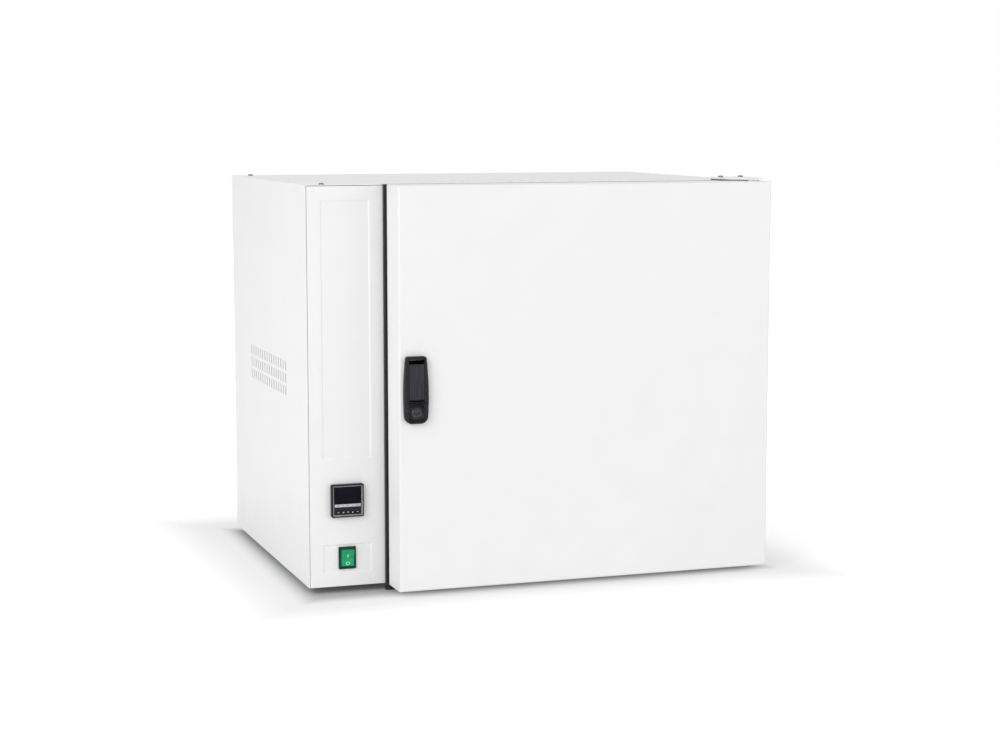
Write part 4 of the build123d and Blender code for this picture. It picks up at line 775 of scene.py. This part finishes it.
# outline of the mark on each key: a bent arrow, left, down and up triangles, and a bar
keyMarks = {
    1: [(-1.1, 0.9), (1.1, 0.9), (1.1, 0.45), (-0.55, 0.45), (-0.55, -0.9), (-1.1, -0.9)],
    2: [(1.0, 0.95), (-1.1, 0), (1.0, -0.95)],
    3: [(-1.1, 0.85), (1.1, 0.85), (0, -0.9)],
    4: [(-1.1, -0.85), (0, 0.9), (1.1, -0.85)],
    5: [(-1.1, 0.5), (1.1, 0.5), (1.1, -0.1), (-1.1, -0.1)],
}


def makeKey(number):
    # crowned cap: rounded rectangles that shrink as they rise, with a pad-printed mark
    node = f"controller_key_{number}"
    low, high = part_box(node)
    cx, cz = (low[0] + high[0]) / 2, (low[2] + high[2]) / 2
    width, height = controller["keySize"]
    front = low[1] + controller["keyRise"] * mm
    steps = [(0, 0.9, high[1]), (0, 0.9, front + 0.55 * mm), (0.35, 0.8, front + 0.2 * mm),
             (0.9, 0.6, front + 0.04 * mm), (1.8, 0.4, front)]
    rings = [roundedRing((cx, cz), width - less, height - less, radius, y, 5) for less, radius, y in steps]
    cap = ringStack(f"keyCap{number}", rings)
    finishPiece(cap, finishes["black_plastic"], f"key_{number}", "grey_plastic", node)
    mark = flatShape(f"keyMark{number}", keyMarks[number], (cx, front - 0.05 * mm, cz), (1, 0, 0), (0, 0, 1),
                     0.06)
    finishPiece(mark, legendInk, f"key_{number}", "grey_plastic")


rocker = {"throwDeg": 10.0, "proud": 3.0, "pivotDepth": 1.8, "barAt": 4.2, "bar": (1.5, 5.4), "ringAt": -7.0,
          "ring": (3.0, 1.9), "ink": 0.12}


def makeRockerMarks():
    # on each tilted face: place = pivot + turn(throw) applied to (reach out, height), then along the face
    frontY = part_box("control_fascia")[0][1]
    cx, _, _ = middle("switch_rocker")
    cz = middle("switch_housing")[2]
    turn = math.radians(rocker["throwDeg"])

    def place(s):
        out = rocker["proud"] + abs(s) * math.tan(turn)
        y, z = (-out - rocker["pivotDepth"]) * mm, s * mm
        y, z = y * math.cos(turn) - z * math.sin(turn), y * math.sin(turn) + z * math.cos(turn)
        slope = turn + (turn if s > 0 else -turn)
        up = (0, -math.sin(slope), math.cos(slope))
        return (cx, frontY + rocker["pivotDepth"] * mm + y, cz + z), up

    origin, up = place(rocker["barAt"])
    w, h = rocker["bar"][0] / 2, rocker["bar"][1] / 2
    lift = np.cross((1, 0, 0), up) * rocker["ink"] * mm
    bar = flatShape("barMark", rectangle(w, h), np.array(origin) + lift, (1, 0, 0), up, 0.2)
    origin, up = place(rocker["ringAt"])
    lift = np.cross((1, 0, 0), up)
    angle = np.linspace(0, 2 * np.pi, 32, endpoint=False)[:, None]
    circle = np.cos(angle) * np.array((1.0, 0, 0)) + np.sin(angle) * np.array(up) * 0.85
    outer, inner = rocker["ring"]
    ink = rocker["ink"]
    rings = [np.array(origin) + (circle * radius + lift * rise) * mm
             for radius, rise in ((outer, -0.1), (outer, ink), (inner, ink), (inner, -0.1))]
    marks = joinPieces("rockerMarks", [bar, loopStack("ringMark", rings)])
    finishPiece(marks, mintInk, "rocker", "green_plastic")


screw = {"head": 3.9, "rise": 2.2, "shank": 2.0, "length": 7.0, "cross": (2.3, 0.55), "crossDepth": 1.3}
# where they stand, and the turns of their slots in degrees, which differ as on parts screwed by hand
screwPlaces = {"rearX": (-338.8, 338.8), "rearZ": (50, 300, 550), "topX": -321, "topY": (-228, 242),
               "hingeX": (304, 337), "hingeY": -218, "turns": (20, 65, 5, 38, 80, 52, 12, 33, 8, 47, 70, 26)}


def screwTop(a, b):
    # height = flattened dome of radius r, less a cross recess that gets shallower outwards
    r = np.hypot(a, b)
    h = screw["rise"] * np.sqrt(np.maximum(1 - (r / (screw["head"] * 1.04)) ** 4, 0)) ** 0.8
    arm, half = screw["cross"]
    along = (1 - ease(half - 0.15, half + 0.15, np.abs(a))) * (1 - ease(arm - 0.3, arm + 0.1, np.abs(b)))
    across = (1 - ease(half - 0.15, half + 0.15, np.abs(b))) * (1 - ease(arm - 0.3, arm + 0.1, np.abs(a)))
    return h - screw["crossDepth"] * np.maximum(along, across) * (1 - 0.35 * r / arm)


def makeScrew(place, axis, across):
    head = reliefDisc("head", place, axis, across, screw["head"], 0.0, screwTop, 16, 40)
    shank = lathe("shank", rod(screw["shank"], 0, -screw["length"]), place, axis, across, 12)
    return [head, shank]


def makeScrews():
    # eight on the case and four on the hinge plates; the slot's direction = (cos turn, sin turn) across it
    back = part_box("rear_panel")[1][1]
    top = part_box("top_cover")[1][2]
    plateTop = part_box("upper_hinge_plate")[1][2]
    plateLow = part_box("lower_hinge_plate")[0][2]
    turns = iter([(math.cos(turn), math.sin(turn)) for turn in np.radians(screwPlaces["turns"])])
    parts = []
    for x in screwPlaces["rearX"]:
        for z in screwPlaces["rearZ"]:
            a, b = next(turns)
            parts += makeScrew((x * mm, back, z * mm), (0, 1, 0), (a, 0, b))
    for y in screwPlaces["topY"]:
        parts += makeScrew((screwPlaces["topX"] * mm, y * mm, top), (0, 0, 1), (*next(turns), 0))
    finishPiece(joinPieces("caseScrews", parts), screwZinc, "cabinet", "plain_steel", "case_screws")
    parts = []
    for x in screwPlaces["hingeX"]:
        across = (*next(turns), 0)
        for z, axis in ((plateTop, (0, 0, 1)), (plateLow, (0, 0, -1))):
            parts += makeScrew((x * mm, screwPlaces["hingeY"] * mm, z), axis, across)
    finishPiece(joinPieces("hingeScrews", parts), screwZinc, "cabinet", "plain_steel", "hinge_screws")


shelf = {"wire": 1.6, "frame": 2.8, "bearer": 2.5, "corner": 12.0, "count": 15, "half": 181.9, "end": 3.0}


def makeShelf(node, name):
    # one bent rod for the frame, a bearer across it and thin wires over both, evenly spaced
    low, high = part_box(node)
    cx = (low[0] + high[0]) / 2
    end = shelf["end"] * mm
    front, back = low[1] + end, high[1] - end
    z = low[2] + shelf["frame"] * mm
    half = shelf["half"] * mm
    cy = (front + back) / 2
    loop = roundedRing((0, 0), 2 * shelf["half"], (back - front) / mm, shelf["corner"], 0, 8)
    path = np.stack([cx + loop[:, 0], cy + loop[:, 2], np.full(len(loop), z)], axis=1)
    section = roundSection(shelf["bearer"] + 0.3, 10)
    parts = [carrySection("shelfFrame", path, section, (0, 0, 1), closed=True)]
    parts.append(lathe("bearer", rod(shelf["bearer"], -shelf["half"], shelf["half"]), (cx, cy, z), (1, 0, 0),
                       (0, 0, 1), 12))
    reach = (back - front) / 2 / mm + shelf["end"]
    r = shelf["wire"]
    profile = [(0, -reach), (r * 0.7, -reach), (r, -reach + 0.5), (r, reach - 0.5), (r * 0.7, reach),
               (0, reach)]
    for k in range(shelf["count"]):
        x = cx + (2 * (k + 1) / (shelf["count"] + 1) - 1) * half
        parts.append(lathe("wire", profile, (x, cy, z + shelf["bearer"] * mm), (0, 1, 0), (1, 0, 0), 10))
    finishPiece(joinPieces(name, parts), finishes["wire"], "cabinet", "wire", node)


gasket = {"footHalf": 7.0, "footThick": 1.2, "corner": 5.0, "bulb": (4.6, 4.2), "bulbBase": 1.4}


def makeGasket():
    # section carried round the door's inner face: a flat foot with half an ellipse, the bulb, on it
    low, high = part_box("door_gasket")
    cx, _, cz = middle("door_gasket")
    half, thick = gasket["footHalf"], gasket["footThick"]
    width, height = (high[0] - low[0]) / mm - 2 * half, (high[2] - low[2]) / mm - 2 * half
    loop = roundedRing((cx, cz), width, height, gasket["corner"], low[1], 6)
    turn = np.linspace(0, np.pi, 13)
    bulb = np.stack([gasket["bulb"][0] * np.cos(turn), gasket["bulbBase"] + gasket["bulb"][1] * np.sin(turn)],
                    axis=1)
    section = np.concatenate([[(half, 0.0), (half, thick)], bulb, [(-half, thick), (-half, 0.0)]])
    finishPiece(carrySection("bulbSeal", loop, section, (0, 1, 0), closed=True), finishes["silicone"], "door",
                "silicone", "door_gasket")


# profiles are (radius, height along the axis)
foot = {"radius": 16, "atX": 285,
        "profile": [(0, 10), (16, 10), (16, 9), (15.2, 2.4), (14.7, 0.9), (13.8, 0.1), (12.9, 0), (9.5, 0),
                    (8.8, 0.5), (6.0, 0.7), (5.2, 2.5), (0, 2.5)]}


def makeFeet():
    # turned profile: a tapered rubber foot with a rounded rim, a sole ring and a hollow for its screw
    low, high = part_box("rubber_feet")
    radius = foot["radius"] * mm
    parts = [lathe("foot", foot["profile"], (x * mm, y, 0), (0, 0, 1), (1, 0, 0), 40)
             for x in (-foot["atX"], foot["atX"]) for y in (low[1] + radius, high[1] - radius)]
    finishPiece(joinPieces("rubberFeet", parts), finishes["rubber"], "cabinet", "rubber", "rubber_feet")


def turnedRows(rows, turn):
    # rows of (radius, height), where a radius is one number or one for each turn:
    # a = radius * cos turn, b = radius * sin turn and the height, each as a grid in metres
    radius = np.array([np.broadcast_to(r, turn.shape) for r, _ in rows]) * mm
    rise = np.array([h for _, h in rows])[:, None] * mm
    return radius * np.cos(turn), radius * np.sin(turn), rise + 0 * radius


gland = {"bore": 4.5, "thread": 7.8, "flatHalf": 10.8, "cornerRadius": 12.2, "rib": 11.2, "ribWave": 0.35,
         "ribs": 24}


def makeGland():
    # hexagon: radius = half width / cos(angle off the flat), clipped to a circle; ribbed nut: radius + cosine
    low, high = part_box("cable_gland")
    cx, _, cz = middle("cable_gland")
    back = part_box("rear_panel")[1][1]
    start, end = (low[1] - back) / mm, (high[1] - back) / mm
    turn = np.linspace(0, 2 * np.pi, 96, endpoint=False)
    hexagon = gland["flatHalf"] / np.cos((turn + np.pi / 6) % (np.pi / 3) - np.pi / 6)
    hexagon = np.minimum(hexagon, gland["cornerRadius"])
    ribbed = gland["rib"] + gland["ribWave"] * np.cos(gland["ribs"] * turn)
    bore, thread = gland["bore"], gland["thread"]
    rows = [(bore, start), (thread - 0.6, start), (thread, start + 0.6), (thread, -6.2), (hexagon, -6.2),
            (hexagon, -1.3), (thread, -1.3), (thread, 0), (hexagon, 0.02), (hexagon, 6.8),
            (hexagon - 0.9, 7.8), (8.4, 7.9), (8.4, 9.0), (ribbed - 0.4, 9.0), (ribbed, 9.6), (ribbed, 14.5),
            (ribbed - 1.0, 16.4), (9.0, 18.0), (7.4, end - 1.0), (6.4, end - 0.2), (5.6, end),
            (bore, end - 0.4)]
    a, b, rise = turnedRows(rows, turn)
    points = np.stack([cx + a, back + rise, cz + b], axis=-1)
    finishPiece(loopStack("cableGland", points), finishes["black_plastic"], "cabinet", "black_plastic",
                "cable_gland")


def makeSpigot():
    # turned profile from the inside out: bore, collar with a rounded edge, tube, slimmer mouth, rolled lip
    low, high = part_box("exhaust_spigot")
    cx, _, cz = middle("exhaust_spigot")
    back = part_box("rear_panel")[1][1]
    start, end = (low[1] - back) / mm, (high[1] - back) / mm
    profile = [(18, start), (20, start), (20, 0), (28.2, 0), (28.8, 0.6), (28.8, 2.2), (28.0, 3.0),
               (21.2, 3.0), (20.2, 3.8), (20, 4.6), (20, 20.5), (19.9, 22.8), (19.2, 23.8), (19, 24.2),
               (19, end - 1.6), (18.9, end - 0.6), (18.5, end), (18.1, end - 0.5), (18, end - 1.4)]
    finishPiece(lathe("exhaustSpigot", profile, (cx, back, cz), (0, 1, 0), (1, 0, 0), 64),
                finishes["stainless"], "cabinet", "stainless", "exhaust_spigot")


knob = {"bore": 2.55, "radius": 7.5, "ribWave": 0.35, "ribs": 18, "wingWide": 2.4, "wingLess": 3.4,
        "wingCorner": 0.8, "wingLift": 1.4, "wing": ((6.8, 0), (11.3, 0), (11.9, 0.6))}


def makeDamperKnob():
    # skirt: radius + cosine ribs under a domed top; wing: a rounded rectangle carried out, then shrunk
    low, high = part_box("damper_knob")
    cx, cy, _ = middle("damper_plate")
    height = (high[2] - low[2]) / mm
    turn = np.linspace(0, 2 * np.pi, 72, endpoint=False)
    ribs = knob["radius"] + knob["ribWave"] * np.cos(knob["ribs"] * turn)
    rows = [(knob["bore"], 0), (ribs, 0), (ribs, height - 2.4), (ribs - 0.5, height - 1.2),
            (6.0, height - 0.3), (4.0, height), (knob["bore"], height)]
    a, b, rise = turnedRows(rows, turn)
    skirt = loopStack("knobSkirt", np.stack([cx + a, cy + b, low[2] + rise], axis=-1))
    wingZ = low[2] + (height / 2 + knob["wingLift"]) * mm
    stack = []
    for reach, less in knob["wing"]:
        wide, tall = knob["wingWide"] - less, height - knob["wingLess"] - less
        ring = roundedRing((0, 0), wide, tall, knob["wingCorner"], 0, 4)
        stack.append(ring + np.array([cx, cy + reach * mm, wingZ]))
    piece = joinPieces("damperKnob", [skirt, ringStack("wing", stack)])
    finishPiece(piece, finishes["black_plastic"], "damper", "black_plastic", "damper_knob")


impeller = {"blades": 12, "inner": 44, "outer": 73.5, "lagDeg": 24, "lagPower": 1.4, "bladeHalf": 0.6,
            "sections": 9, "plate": 75, "bore": 4.1}


def makeImpeller():
    # backward-curved blades: angle = blade's own + lag * ((radius - inner) / width) ^ power, each with half
    # its thickness to both sides, between the front edge and a turned back plate with a domed hub
    low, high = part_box("fan_impeller")
    cx, _, cz = middle("fan_impeller")
    front, depth = low[1], (high[1] - low[1]) / mm
    inner, outer, plate, bore = (impeller[key] for key in ("inner", "outer", "plate", "bore"))
    across = np.linspace(inner, outer, impeller["sections"])
    lag = np.radians(impeller["lagDeg"]) * ((across - inner) / (outer - inner)) ** impeller["lagPower"]
    blades = []
    for k in range(impeller["blades"]):
        angle = k * 2 * np.pi / impeller["blades"] + lag
        sheets = []
        for shift in (-impeller["bladeHalf"], impeller["bladeHalf"]):
            a = angle + shift / across
            edge = np.stack([cx + across * mm * np.cos(a), np.full_like(across, front + 0.2 * mm),
                             cz + across * mm * np.sin(a)], axis=1)
            sheets.append(np.stack([edge, edge + np.array([0, (depth - 2.0) * mm, 0])]))
        blades.append(thickSheet("blade", *sheets))
    profile = [(bore, depth), (plate - 0.4, depth), (plate, depth - 0.3), (plate, depth - 1.0),
               (plate - 0.4, depth - 1.3), (13, depth - 1.3), (11, depth - 2.5), (11, 7.5), (10, 6.2),
               (bore, 6.0)]
    back = lathe("backPlate", profile, (cx, front, cz), (0, 1, 0), (1, 0, 0), 72)
    finishPiece(joinPieces("impeller", [*blades, back]), finishes["stainless"], "fan", "stainless",
                "fan_impeller")


makeLatchBody()
makeLock()
makeControllerFace(*makeBezel())
for number in keyMarks:
    makeKey(number)
makeRockerMarks()
makeScrews()
print("front pieces made")
makeShelf("lower_shelf", "lowerShelf")
makeShelf("upper_shelf", "upperShelf")
makeGasket()
makeFeet()
makeGland()
makeSpigot()
makeDamperKnob()
makeImpeller()
print("back and inner pieces made")
